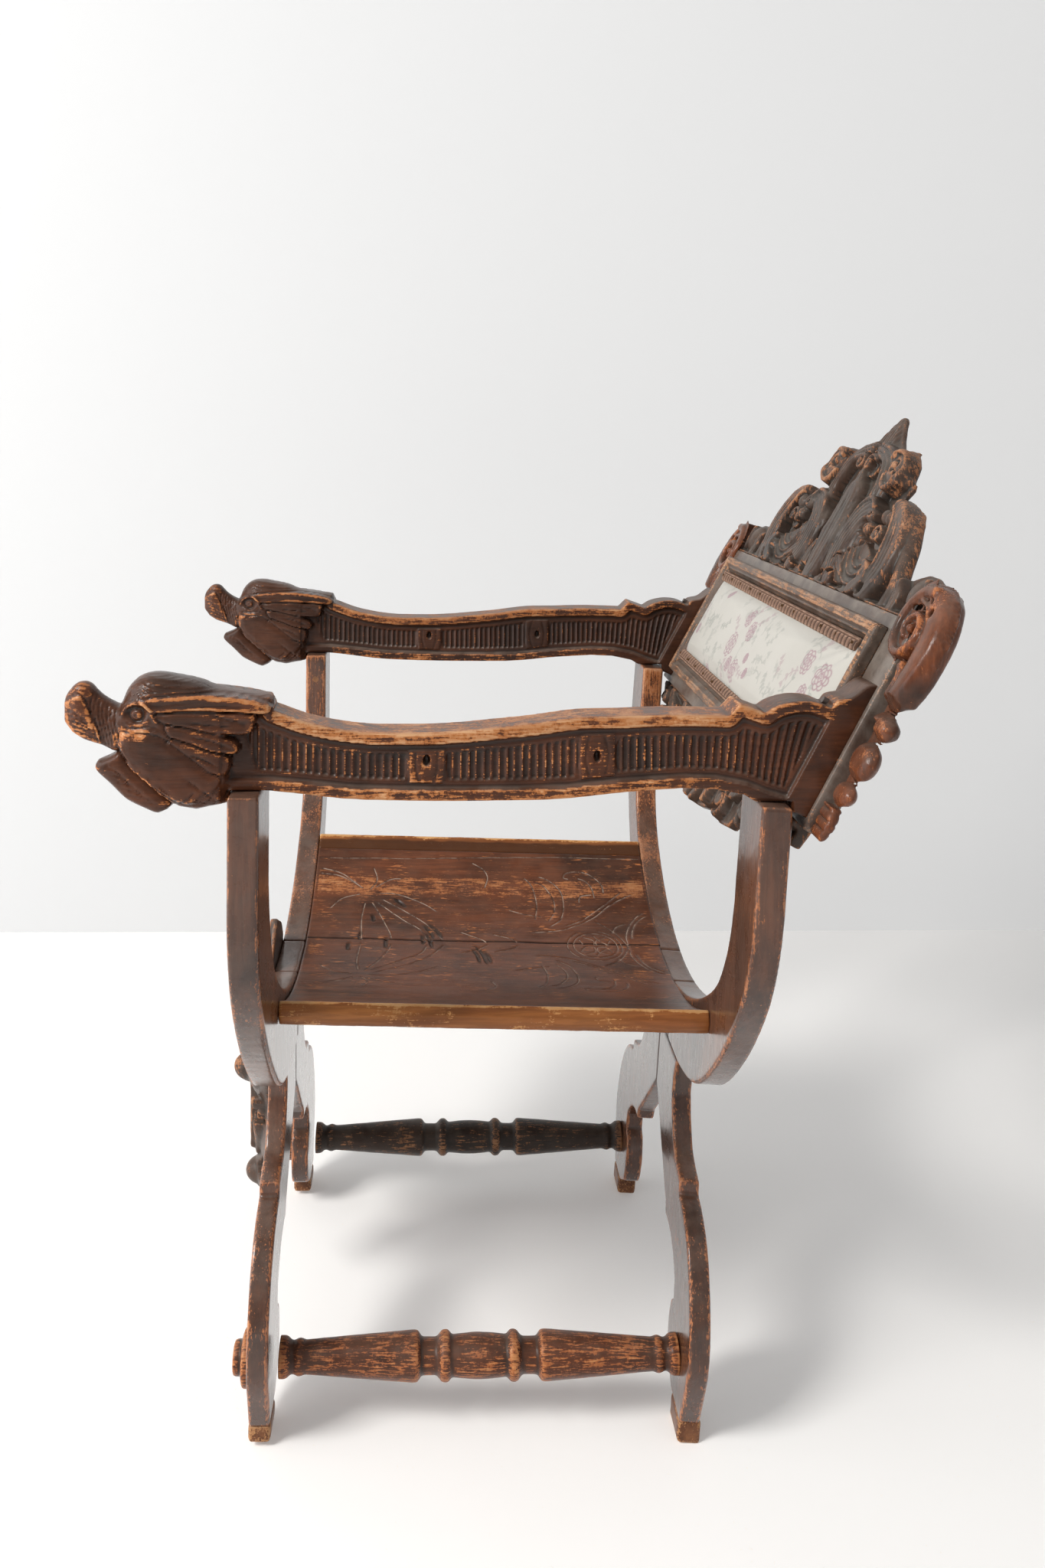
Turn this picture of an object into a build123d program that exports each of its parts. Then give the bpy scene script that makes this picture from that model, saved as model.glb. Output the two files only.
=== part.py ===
"""Savonarola armchair: two slung curule frames, turned stretchers, carved arms and a raked back.

Millimetres. +X is the sitter's left, -Y is the front, +Z is up. The chair is built about the middle
of the seat and then moved so that the origin lies on the floor, under the middle of the whole chair.
"""

import math
import os

from build123d import *

# ---- driving dimensions ----------------------------------------------------------------------

front_rear_face = -201.0      # rear face of the front frame
seat_depth = 398.0            # between the two frames, at seat level
frame_thickness = 26.0
leg_thickness = 20.0          # the legs are thinner, flush with the front of each frame
back_frame_lean = 3.9         # degrees, the back frame leans back and the front one is plumb

seat_level = 360.0            # height at which seat_depth is measured
front_hollow_height = 368.0   # lowest point of the slung seat, front and back
back_hollow_height = 358.0
hollow_radius = 350.0         # the hollow is an arc about an axis that runs front to back
hollow_half_width = 205.0     # where the hollow turns up into the arm supports

upright_width = 70.0          # across the chair
front_upright_inner = 276.0   # half the clear width between the arm supports
back_upright_inner = 260.0
front_upright_height = 646.0
back_upright_height = 634.0

waist_height = 298.0          # where arches, centre block and legs meet
centre_block_half = 40.0
waist_half_width = 88.0
crown_height = 232.0          # top of the opening between the legs

foot_height = 20.0
foot_inner = 170.0
foot_outer = 207.0
foot_thickness = 21.0
foot_round = 5.0

stretcher_offset = 181.0      # from the middle of the chair
stretcher_height = 65.5
tenon_diameter = 18.0
seam_dowel_diameter = 10.0    # glued across the seams of each frame
seam_dowel_length = 28.0
boss_diameter = 48.0
boss_thickness = 9.0
boss_button_diameter = 29.0
boss_button_length = 9.0
boss_round = 3.0
tenon_in_boss = 7.0

seat_radius_left = 466.0      # the seat has sagged flatter than the frames on the sitter's left
seat_board_thickness = 14.0
seat_seam = -45.0             # the two seat boards meet a little off the middle
seat_rail_outer = 211.0
seat_rail_width = 22.0
seat_rail_depth = 25.0
seat_rail_nose = 5.0          # how far its rounded outer side bulges

arm_width = 36.0
head_width = 58.0
arm_rear_centre = back_upright_inner + upright_width / 2 + 4.0    # the arms' centre lines
arm_front_centre = front_upright_inner + upright_width / 2
arm_dowel_diameter = 12.0
arm_dowel_length = 44.0

back_rake = 28.5              # degrees from plumb
back_reference_set = 101.8    # the board's reference point behind and above the back frame's top
back_reference_rise = 99.6
board_half_width = 320.0
board_bottom = -138.0         # heights on the back are measured up its slope from the reference
board_top = 60.0
board_thickness = 22.0
wing_lap = 20.0               # the wings reach this far in over the board's top

moulding_side_gap = 1.5       # between the moulding and the arms it stands between
moulding_top = 47.0
moulding_bottom = -121.0
moulding_width = 19.0
moulding_height = 12.0

pad_clearance = 0.4
pad_height = 15.0
pad_edge = 6.7                # its height where it meets the moulding
pad_shoulder = 25.0           # width of the slope from there up to the crown
pad_corner = 3.0
gimp_width = 14.0
gimp_rise = 5.6               # top of the gimp above the pad's edge
nail_diameter = 3.0
nail_length = 8.0
nail_head = 0.8               # how far a nail stands out of the gimp
nail_spacing = 46.0

crest_relief = 10.0           # carving stands this far in front of the board's face
wing_relief = 6.0
wing_thickness = 28.0
apron_thickness = 24.0
cartouche_thickness = 30.0
cartouche_boss_height = 265.0 # middle of its raised boss, above the floor
cartouche_boss_proud = 48.0   # and how far that stands from the frame
cartouche_boss_round = 10.0

peg_diameter = 8.0
peg_length = 16.0
peg_drop = 31.0               # below the top of each arm support
screw_diameter = 6.0
screw_head_diameter = 12.0
screw_head_height = 4.0
screw_reach = 30.0
screw_heights = (-35.0, -95.0)

os.makedirs("parts", exist_ok=True)

far = 2000.0                  # larger than the chair, for half-space cuts
lean = math.radians(back_frame_lean)
rake = math.radians(back_rake)

front_front_face = front_rear_face - frame_thickness
leg_recess = frame_thickness - leg_thickness
front_leg_rear = front_rear_face - leg_recess


# ---- planes and small helpers ----------------------------------------------------------------

def leaning_plane(y, z, angle, behind=0.0):
    """Plane that leans back by angle; its normal looks to the front, its local Y runs up the slope."""
    normal = Vector(0, -math.cos(angle), math.sin(angle))
    origin = Vector(0, y, z) - normal * behind
    return Plane(origin=origin, x_dir=(1, 0, 0), z_dir=normal)


front_plane = leaning_plane(front_rear_face, 0, 0)
back_face_at_floor = front_rear_face + seat_depth - math.tan(lean) * seat_level
back_plane = leaning_plane(back_face_at_floor, 0, lean, behind=frame_thickness)


def back_frame_y(z):
    """Front face of the leaning back frame at a height."""
    return back_face_at_floor + math.tan(lean) * z


board_plane = leaning_plane(
    back_frame_y(back_upright_height) + back_reference_set,
    back_upright_height + back_reference_rise, rake)


def slab(plane, outline, low, high):
    """Outline drawn on a plane, made solid between two distances along the plane's normal."""
    return extrude(plane.offset(low) * outline, amount=high - low)


def rod(start, end, diameter):
    """Round bar between two points."""
    axis = Vector(*end) - Vector(*start)
    return extrude(Plane(origin=start, z_dir=axis) * Circle(diameter / 2), amount=axis.length)


def box_between(low_corner, high_corner):
    """Axis-aligned box between two corners."""
    size = [h - l for l, h in zip(low_corner, high_corner)]
    middle = [(h + l) / 2 for l, h in zip(low_corner, high_corner)]
    return Pos(*middle) * Box(*size)


def mirrored(shape):
    """The same piece on the other side of the chair."""
    return mirror(shape, about=Plane.YZ)


behind_back_frame = extrude(back_plane.offset(frame_thickness) * Rectangle(far, far), amount=-far)
behind_back_board = extrude(board_plane * Rectangle(far, far), amount=-far)

# ---- slung frames: arches, centre block and legs ----------------------------------------------


def hollow_height_at(x, low):
    """Height of the slung curve at a distance from the middle."""
    return low + hollow_radius - math.sqrt(hollow_radius ** 2 - x ** 2)


def arch_outline(low, inner, top):
    """Arm support of one side, from the centre block up to the arm."""
    turn = math.asin(hollow_half_width / hollow_radius)
    elbow_radius = (inner - hollow_half_width) / (1 - math.sin(turn))
    elbow_x = inner - elbow_radius
    elbow_z = hollow_height_at(hollow_half_width, low) + elbow_radius * math.cos(turn)
    middle_turn = (turn + math.pi / 2) / 2
    elbow_middle = (
        elbow_x + elbow_radius * math.sin(middle_turn),
        elbow_z - elbow_radius * math.cos(middle_turn),
    )
    outer = inner + upright_width
    seam_top = (centre_block_half, hollow_height_at(centre_block_half, low))
    hollow_middle_x = (centre_block_half + hollow_half_width) / 2
    hollow_middle = (hollow_middle_x, hollow_height_at(hollow_middle_x, low))
    hollow_end = (hollow_half_width, hollow_height_at(hollow_half_width, low))
    elbow_end = (inner, elbow_z)
    belly_end = (outer, low + 190)
    seam_bottom = (centre_block_half, waist_height)
    cusp = (waist_half_width, waist_height)
    return make_face([
        ThreePointArc(seam_top, hollow_middle, hollow_end),
        ThreePointArc(hollow_end, elbow_middle, elbow_end),
        Line(elbow_end, (inner, top)),
        Line((inner, top), (outer, top)),
        Line((outer, top), belly_end),
        Spline(
            belly_end, (outer - 42, low + 70), (outer - 130, low - 20), cusp,
            tangents=[(0, -1), (-1, -0.1)],
        ),
        Line(cusp, seam_bottom),
        Line(seam_bottom, seam_top),
    ])


def centre_outline(low):
    """Block between the two arches, under the middle of the seat."""
    edge = hollow_height_at(centre_block_half, low)
    return make_face([
        ThreePointArc((-centre_block_half, edge), (0, low), (centre_block_half, edge)),
        Line((centre_block_half, edge), (centre_block_half, waist_height)),
        Line((centre_block_half, waist_height), (-centre_block_half, waist_height)),
        Line((-centre_block_half, waist_height), (-centre_block_half, edge)),
    ])


def leg_outline():
    """Scrolled leg of one side, from the waist down to the top of its foot."""
    ledge_top = (141, 207)
    ledge_bottom = (143, 195)
    heel = (foot_outer, foot_height)
    toe = (foot_inner - 4, foot_height)
    pad_bottom = (142, 34)
    pad_top = (139, 89)
    notch = (148, 95)
    notch_top = (146, 113)
    tooth = (88, 140)
    tooth_top = (84, 152)
    crown = (0, crown_height)
    cusp = (waist_half_width, waist_height)
    return make_face([
        Line((0, waist_height), cusp),
        Spline(cusp, (82, 262), (100, 226), ledge_top, tangents=[(-0.4, -1), (1, -0.25)]),
        Line(ledge_top, ledge_bottom),
        Spline(ledge_bottom, (192, 171), (226, 100), heel, tangents=[(1, -0.2), (-0.35, -1)]),
        Line(heel, toe),
        Line(toe, pad_bottom),
        ThreePointArc(pad_bottom, (134, 62), pad_top),
        Line(pad_top, notch),
        Line(notch, notch_top),
        ThreePointArc(notch_top, (124, 134), tooth),
        Line(tooth, tooth_top),
        ThreePointArc(tooth_top, (50, 184), crown),
        Line(crown, (0, waist_height)),
    ])


def tenon_rod(side):
    """Space that a stretcher's tenon takes, from the front boss to the back of the back frame."""
    rear = back_frame_y(stretcher_height) + far
    x = side * stretcher_offset
    start = (x, front_front_face - tenon_in_boss, stretcher_height)
    return rod(start, (x, rear, stretcher_height), tenon_diameter)


def frame_dowels(plane):
    """Round dowels that cross the glued seams of one frame, clear of both faces."""
    middle = leg_recess + leg_thickness / 2
    level = (waist_height + back_hollow_height) / 2
    half = seam_dowel_length / 2
    seam_x = (centre_block_half + waist_half_width) / 2
    section = Circle(seam_dowel_diameter / 2)
    dowels = []
    for side in (1, -1):
        across = plane * Pos(side * (centre_block_half - half), level, middle) * Rot(0, side * 90, 0)
        down = plane * Pos(side * seam_x, waist_height - half, middle) * Rot(-90, 0, 0)
        dowels.append(extrude(across * section, amount=seam_dowel_length))
        dowels.append(extrude(down * section, amount=seam_dowel_length))
    return dowels


def build_frame(name, plane, low, inner, top):
    """One slung frame as five boards; returns {node name: solid}."""
    pieces = {
        f"{name}_arch_left": slab(plane, arch_outline(low, inner, top), 0, frame_thickness),
        f"{name}_centre_block": slab(plane, centre_outline(low), 0, frame_thickness),
        f"{name}_leg_left": slab(plane, leg_outline(), leg_recess, frame_thickness),
    }
    for kind in ("arch", "leg"):
        pieces[f"{name}_{kind}_right"] = mirrored(pieces[f"{name}_{kind}_left"])
    dowels = frame_dowels(plane)
    for node in pieces:
        for dowel in dowels:
            pieces[node] = pieces[node] - dowel
    for side, hand in ((1, "left"), (-1, "right")):
        node = f"{name}_leg_{hand}"
        pieces[node] = pieces[node] - tenon_rod(side)
    return pieces, dowels


nodes = {}
overrun = 20.0                # the boards are cut longer than they stand
front_pieces, front_dowels = build_frame(
    "front", front_plane, front_hollow_height, front_upright_inner, front_upright_height + overrun)
back_pieces, back_dowels = build_frame(
    "back", back_plane, back_hollow_height, back_upright_inner, back_upright_height + overrun)

# the boards run past their ends and are trimmed level, at the arms and at the feet
for pieces, top in ((front_pieces, front_upright_height), (back_pieces, back_upright_height)):
    for node in pieces:
        above = box_between((-far, -far, top), (far, far, top + far))
        below = box_between((-far, -far, -far), (far, far, foot_height))
        pieces[node] = pieces[node] - above - below
nodes.update(front_pieces)
nodes.update(back_pieces)

# ---- feet --------------------------------------------------------------------------------------


def foot(y_middle):
    """Low block under a leg, with its lower edges worn round."""
    block = box_between(
        (foot_inner, y_middle - foot_thickness / 2, 0),
        (foot_outer, y_middle + foot_thickness / 2, foot_height),
    )
    worn = block.edges().filter_by(Axis.X).group_by(Axis.Z)[0]
    return fillet(worn, foot_round)


back_foot_y = back_frame_y(foot_height) + leg_thickness / 2
front_foot_y = front_front_face + leg_thickness / 2
for name, y_middle in (("front", front_foot_y), ("back", back_foot_y)):
    nodes[f"{name}_foot_left"] = foot(y_middle)
    nodes[f"{name}_foot_right"] = mirrored(foot(y_middle))

# ---- stretchers and their bosses -----------------------------------------------------------------

stretcher_length = back_frame_y(stretcher_height) - front_leg_rear

# diameters of the turning, from one end to its middle, against the distance from that end
half_turning = [
    (0.0, 34.0), (8.0, 34.0), (10.0, 28.0), (16.0, 26.0), (22.0, 30.0), (24.0, 26.0), (70.0, 32.0),
    (128.0, 40.0), (132.0, 40.0), (134.0, 29.0), (152.0, 29.0), (154.0, 38.0), (158.0, 41.0),
    (162.0, 38.0), (164.0, 33.0),
]
barrel_diameter = 36.0
drawn_half_length = 190.0


def stretcher(side):
    """Turned rail with a round tenon at each end."""
    scale = stretcher_length / 2 / drawn_half_length
    first = [(y * scale, d / 2) for y, d in half_turning]
    second = [(stretcher_length - y, r) for y, r in reversed(first)]
    turning = first + [(stretcher_length / 2, barrel_diameter / 2)] + second
    past = stretcher_length + frame_thickness
    ends = [(past, turning[-1][1]), (past, 0), (0, 0)]
    outline = make_face(Polyline(*turning, *ends, close=True))
    turned = revolve(outline, axis=Axis.X, revolution_arc=360)
    body = Pos(side * stretcher_offset, front_leg_rear, stretcher_height) * Rot(0, 0, 90) * turned
    body = body - behind_back_frame
    rear_limit = extrude(back_plane.offset(leg_recess) * Rectangle(far, far), amount=-far)
    return body + (tenon_rod(side) - rear_limit)


def stretcher_boss(side):
    """Turned cap over the tenon, on the front of the leg."""
    x = side * stretcher_offset
    face = front_front_face
    shoulder = (x, face - boss_thickness, stretcher_height)
    tip = (x, face - boss_thickness - boss_button_length, stretcher_height)
    cap = rod((x, face, stretcher_height), shoulder, boss_diameter)
    cap = fillet(cap.edges().group_by(Axis.Y)[0], boss_round)
    button = rod(shoulder, tip, boss_button_diameter)
    button = fillet(button.edges().group_by(Axis.Y)[0], boss_round)
    return cap + button - tenon_rod(side)


for side, hand in ((1, "left"), (-1, "right")):
    nodes[f"stretcher_{hand}"] = stretcher(side)
    nodes[f"stretcher_boss_{hand}"] = stretcher_boss(side)

# ---- seat ------------------------------------------------------------------------------------------

seat_fall = math.atan((front_hollow_height - back_hollow_height) / seat_depth)
seat_plane = leaning_plane(front_rear_face, front_hollow_height, 0)
seat_axis = Vector(0, math.cos(seat_fall), -math.sin(seat_fall))


def seat_run(outline):
    """Section of the seat, run from the front frame back to the back frame."""
    past = seat_depth + 2 * frame_thickness
    return extrude(seat_plane * outline, amount=past, dir=seat_axis) - behind_back_frame


def seat_height_at(x):
    """Height of the seat above its lowest line, with the sitter's left as positive."""
    radius = seat_radius_left if x > 0 else hollow_radius
    return radius - math.sqrt(radius ** 2 - x ** 2)


def seat_curve(start, end, drop=0.0):
    """Arcs of the seat between two distances from the middle, one on each side of it."""
    stops = (start, 0.0, end) if start * end < 0 else (start, end)
    arcs = []
    for a, b in zip(stops, stops[1:]):
        points = [(x, seat_height_at(x) - drop) for x in (a, (a + b) / 2, b)]
        arcs.append(ThreePointArc(*points))
    return arcs


def seat_strip(start, end, depth):
    """Stretch of the slung seat between two distances from the middle, front frame to back frame."""
    top_start = seat_height_at(start)
    top_end = seat_height_at(end)
    outline = make_face([
        *seat_curve(start, end),
        Line((end, top_end), (end, top_end - depth)),
        *seat_curve(end, start, depth),
        Line((start, top_start - depth), (start, top_start)),
    ])
    return seat_run(outline)


rail_inner = seat_rail_outer - seat_rail_width
nodes["seat_board_right"] = seat_strip(-rail_inner, seat_seam, seat_board_thickness)
nodes["seat_board_left"] = seat_strip(seat_seam, rail_inner, seat_board_thickness)


def seat_rail(side):
    """Edge rail of the seat, rounded on its outer side, drawn on the left and made for either side."""
    top_inner = seat_height_at(side * rail_inner)
    top_outer = seat_height_at(side * seat_rail_outer)
    bottom = top_outer - seat_rail_depth
    nose_x = seat_rail_outer - seat_rail_nose
    nose_top = seat_height_at(side * nose_x)
    middle = (nose_top + bottom) / 2
    outline = make_face([
        Line((rail_inner, top_inner), (nose_x, nose_top)),
        ThreePointArc((nose_x, nose_top), (seat_rail_outer, middle), (nose_x, bottom)),
        Line((nose_x, bottom), (rail_inner, bottom)),
        Line((rail_inner, bottom), (rail_inner, top_inner)),
    ])
    return seat_run(outline)


nodes["seat_rail_left"] = seat_rail(1)
nodes["seat_rail_right"] = mirrored(seat_rail(-1))

# ---- arms --------------------------------------------------------------------------------------------

arm_plane = Plane(origin=(0, 0, 0), x_dir=(0, 1, 0), z_dir=(1, 0, 0))
seat_margin = 3.0             # the arm is flat this far past each arm support
front_seat_start = front_front_face - seat_margin
front_seat_end = front_rear_face + seat_margin
back_seat_start = back_frame_y(back_upright_height) - seat_margin
back_seat_end = back_seat_start + frame_thickness + 2 * seat_margin

back_middle = back_frame_y(back_upright_height) + frame_thickness / 2
front_middle = front_rear_face - frame_thickness / 2
arm_slope = (arm_front_centre - arm_rear_centre) / (back_middle - front_middle)
arm_splay = math.degrees(math.atan(arm_slope))

# the arm is drawn over uprights in these places and moves with them
drawn_front = (-214.0, 646.0)
drawn_back = (228.5, 634.0)
placed_front = (front_rear_face - frame_thickness / 2, front_upright_height)
placed_back = (back_frame_y(back_upright_height) + frame_thickness / 2, back_upright_height)


def on_arm(y, z):
    """Point of the arm's drawing, carried to the arm supports as they stand."""
    t = (y - drawn_front[0]) / (drawn_back[0] - drawn_front[0])
    t = min(max(t, 0.0), 1.0)
    move_y = (1 - t) * (placed_front[0] - drawn_front[0]) + t * (placed_back[0] - drawn_back[0])
    move_z = (1 - t) * (placed_front[1] - drawn_front[1]) + t * (placed_back[1] - drawn_back[1])
    return (y + move_y, z + move_z)


def arm_outline():
    """Side view of an arm behind its head; it runs past the back board and is trimmed there."""
    top = [on_arm(y, z) for y, z in (
        (-205, 722), (-145, 700), (-75, 694), (40, 701), (120, 707), (189, 706))]
    ears = [on_arm(y, z) for y, z in (
        (199, 718), (221, 708), (248, 720), (277, 713), (286, 721), (309, 733))]
    rear_top = on_arm(345, 733)
    rear_bottom = on_arm(285, 617)
    belly = [on_arm(y, z) for y, z in ((150, 646), (50, 638), (-60, 636), (-140, 640))]
    neck = on_arm(-205, 646)
    return make_face([
        Spline(*top, tangents=[(1, -0.4), (1, 0.0)]),
        Line(top[-1], ears[0]),
        Line(ears[0], ears[1]),
        ThreePointArc(ears[1], ears[2], ears[3]),
        Spline(ears[3], ears[4], ears[5], tangents=[(0.4, 1), (1, 0.2)]),
        Line(ears[5], rear_top),
        Line(rear_top, rear_bottom),
        Line(rear_bottom, (back_seat_end, rear_bottom[1] + 5)),
        Line((back_seat_end, rear_bottom[1] + 5), (back_seat_end, back_upright_height)),
        Line((back_seat_end, back_upright_height), (back_seat_start, back_upright_height)),
        Spline(
            (back_seat_start, back_upright_height), *belly, (front_seat_end, front_upright_height),
            tangents=[(-1, 0.5), (-1, 0.25)],
        ),
        Line((front_seat_end, front_upright_height), neck),
        Line(neck, top[0]),
    ])


def head_outline():
    """Side view of the beast's head that the arm ends in."""
    points = [
        (-212, 645), (-226, 637), (-257, 629), (-286, 628), (-306, 635), (-322, 648), (-339, 662),
        (-331, 668), (-317, 671), (-326, 678), (-342, 677), (-354, 682), (-366, 696), (-367, 712),
        (-358, 730), (-346, 738), (-335, 732), (-319, 717), (-310, 730), (-300, 740), (-271, 740),
        (-223, 729), (-195, 722), (-190, 646),
    ]
    return make_face(Polyline(*[on_arm(y, z) for y, z in points], close=True))


def arm():
    """Left arm with its head, splayed outwards to the front."""
    outline = arm_outline()
    body = slab(arm_plane, outline, -arm_width / 2, arm_width / 2)
    body = body + slab(arm_plane, head_outline(), -head_width / 2, head_width / 2)
    placed = Pos(arm_rear_centre, back_middle, 0) * Rot(0, 0, arm_splay) * Pos(0, -back_middle, 0) * body
    front_seat = box_between(
        (-far, front_seat_start, 0), (far, front_seat_end, front_upright_height))
    return placed - front_seat - behind_back_board


def arm_dowel(side, x, y, seat_height):
    """Dowel from an arm support up into the arm."""
    start = (side * x, y, seat_height - arm_dowel_length / 2)
    end = (side * x, y, seat_height + arm_dowel_length / 2)
    return rod(start, end, arm_dowel_diameter)


dowel_places = (
    ("front", arm_front_centre, front_rear_face - frame_thickness / 2, front_upright_height),
    ("back", arm_rear_centre, back_frame_y(back_upright_height) + frame_thickness / 2,
     back_upright_height),
)
arm_dowels = []
left_arm = arm()
arms = {1: left_arm, -1: mirrored(left_arm)}
for side, hand in ((1, "left"), (-1, "right")):
    for name, x, y, height in dowel_places:
        dowel = arm_dowel(side, x, y, height)
        arm_dowels.append(dowel)
        arms[side] = arms[side] - dowel
        nodes[f"{name}_arch_{hand}"] = nodes[f"{name}_arch_{hand}"] - dowel

# ---- back: board, crest, wings and apron -----------------------------------------------------------

board = slab(
    board_plane,
    Pos(0, (board_top + board_bottom) / 2) * Rectangle(2 * board_half_width, board_top - board_bottom),
    -board_thickness, 0,
)


def crest_outline():
    """Carved cresting, highest in the middle."""
    end = board_half_width - wing_lap - 1
    side = [
        (end, board_top), (end, 101), (end - 35, 106), (240, 98), (226, 94), (214, 121), (202, 140),
        (182, 160), (150, 169), (118, 173), (125, 183), (118, 196), (112, 212), (90, 226),
        (62, 224), (40, 232), (22, 248), (8, 264),
    ]
    other = [(-x, s) for x, s in reversed(side)]
    return make_face(Polyline(*side, *other, close=True))


def wing_outline():
    """Scrolled ear on the side of the back, with a ball, a bulb and a stepped block below it."""
    edge = board_half_width
    inner = edge - wing_lap
    return make_face([
        Polyline(
            (edge, board_bottom), (edge + 17, board_bottom), (edge + 23, -123), (edge + 17, -105),
            (edge + 33, -94), (edge + 21, -81),
        ),
        ThreePointArc((edge + 21, -81), (edge + 39, -60), (edge + 24, -43)),
        ThreePointArc((edge + 24, -43), (edge + 40, -31), (edge + 26, -16)),
        Spline(
            (edge + 26, -16), (edge + 45, 18), (edge + 48, 56), (edge + 30, 90), (inner, 101),
            tangents=[(0.8, 1), (-1, 0.1)],
        ),
        Line((inner, 101), (inner, board_top)),
        Line((inner, board_top), (edge, board_top)),
        Line((edge, board_top), (edge, board_bottom)),
    ])


def apron_outline():
    """Pendant scrolls along the lower edge of the back."""
    side = [
        (292, board_bottom), (284, -164), (258, -173), (230, -154), (204, -184), (178, -190),
        (152, -174), (138, -198), (110, -203), (78, -186), (58, -204), (24, -212),
    ]
    other = [(-x, s) for x, s in reversed(side)]
    return make_face(Polyline(*side, *other, close=True))


nodes["back_crest"] = slab(board_plane, crest_outline(), -board_thickness, crest_relief)
wing = slab(board_plane, wing_outline(), wing_relief - wing_thickness, wing_relief)
nodes["back_wing_left"] = wing
nodes["back_wing_right"] = mirrored(wing)
apron = slab(board_plane, apron_outline(), -board_thickness, apron_thickness - board_thickness)
nodes["back_apron"] = apron - nodes["back_arch_left"] - nodes["back_arch_right"]

# ---- screws that hold the back to the arms ------------------------------------------------------------

back_screws = []
for side in (1, -1):
    for s in screw_heights:
        place = board_plane * Pos(side * arm_rear_centre, s, -board_thickness)
        shank = extrude(place * Circle(screw_diameter / 2), amount=board_thickness + screw_reach)
        head = extrude(place * Circle(screw_head_diameter / 2), amount=screw_head_height)
        screw = head + shank
        back_screws.append(screw)
        board = board - screw
        arms[side] = arms[side] - screw
nodes["arm_left"] = arms[1]
nodes["arm_right"] = arms[-1]

# ---- moulding, pad and gimp -----------------------------------------------------------------------------


def moulding_section():
    """Section of the moulding, from its inner edge (x = 0) outwards."""
    w = moulding_width
    h = moulding_height
    return [(0, 0), (w, 0), (w, 0.7 * h), (0.8 * w, h), (0.3 * w, h), (0.2 * w, 0.6 * h), (0, 0.4 * h)]


def moulding_run(length, inner_distance):
    """Straight moulding along local X with mitred ends, inner edge towards the opening."""
    outer_distance = inner_distance + moulding_width
    profile = [(inner_distance + u, v) for u, v in moulding_section()]
    section = make_face(Polyline(*profile, close=True))
    cross = Plane(origin=(-length / 2, 0, 0), x_dir=(0, 1, 0), z_dir=(1, 0, 0))
    run = extrude(cross * section, amount=length)
    half_inner = length / 2 - moulding_width
    mitre = make_face(Polyline(
        (-half_inner, inner_distance), (half_inner, inner_distance),
        (length / 2, outer_distance), (-length / 2, outer_distance), close=True,
    ))
    return run & extrude(mitre, amount=moulding_height + 1)


moulding_centre = (moulding_top + moulding_bottom) / 2
half_height = (moulding_top - moulding_bottom) / 2
board_behind = board_plane.origin.Y - back_middle       # the splayed arms come closer together there
arm_inner_at_board = arm_rear_centre - arm_slope * board_behind - arm_width / 2
moulding_half_width = arm_inner_at_board - moulding_side_gap
opening_half_width = moulding_half_width - moulding_width
opening_half_height = half_height - moulding_width
for name, turn, length, distance in (
    ("top", 0, 2 * moulding_half_width, opening_half_height),
    ("left", -90, 2 * half_height, opening_half_width),
    ("bottom", 180, 2 * moulding_half_width, opening_half_height),
    ("right", 90, 2 * half_height, opening_half_width),
):
    run = moulding_run(length, distance)
    nodes[f"back_moulding_{name}"] = board_plane * Pos(0, moulding_centre) * Rot(0, 0, turn) * run

pad_half_width = opening_half_width - pad_clearance
pad_half_height = opening_half_height - pad_clearance
pad_place = board_plane * Pos(0, moulding_centre, pad_clearance)
pad_base = RectangleRounded(2 * pad_half_width, 2 * pad_half_height, pad_corner)
pad_top = RectangleRounded(
    2 * (pad_half_width - pad_shoulder), 2 * (pad_half_height - pad_shoulder), pad_corner)
pad = extrude(pad_place * pad_base, amount=pad_edge)
pad = pad + loft([pad_place * Pos(0, 0, pad_edge) * pad_base,
                  pad_place * Pos(0, 0, pad_height) * pad_top])

# the gimp is let into the pad's sloping shoulder, and its nails go through both
gimp_floor = pad_clearance + pad_edge
nails = []
for name, direction in (("top", 1), ("bottom", -1)):
    middle = moulding_centre + direction * (pad_half_height - gimp_width / 2)
    length = 2 * (pad_half_width - pad_corner)
    gimp = extrude(board_plane * Pos(0, middle, gimp_floor) * Rectangle(length, gimp_width), amount=gimp_rise)
    gimp = gimp - pad
    count = round(length / nail_spacing)
    for i in range(count + 1):
        x = (length - gimp_width) * (i / count - 0.5)
        place = board_plane * Pos(x, middle, gimp_floor + gimp_rise + nail_head - nail_length)
        nail = extrude(place * Circle(nail_diameter / 2), amount=nail_length)
        nails.append(nail)
        gimp = gimp - nail
        pad = pad - nail
    nodes[f"back_gimp_{name}"] = gimp
nodes["back_pad"] = pad
nodes["back_board"] = board

# ---- front cartouche -----------------------------------------------------------------------------------


def cartouche_outline():
    """Carved boss over the crossing of the front frame, pointed at top and bottom."""
    side = [
        (0, 410), (32, 394), (50, 358), (74, 318), (66, 268), (46, 228), (40, 188), (28, 138), (0, 118),
    ]
    other = [(-x, z) for x, z in reversed(side)]
    return make_face([Spline(*side), Spline(*other)])


cartouche_plane = leaning_plane(front_front_face, 0, 0)
cartouche = slab(cartouche_plane, cartouche_outline(), 0, cartouche_thickness)
boss_face = Pos(0, cartouche_boss_height) * Ellipse(40, 46)
carved_boss = slab(cartouche_plane, boss_face, cartouche_thickness, cartouche_boss_proud)
carved_boss = fillet(carved_boss.edges().group_by(Axis.Y)[0], cartouche_boss_round)
nodes["front_cartouche"] = cartouche + carved_boss

# ---- pegs ------------------------------------------------------------------------------------------------

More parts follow.
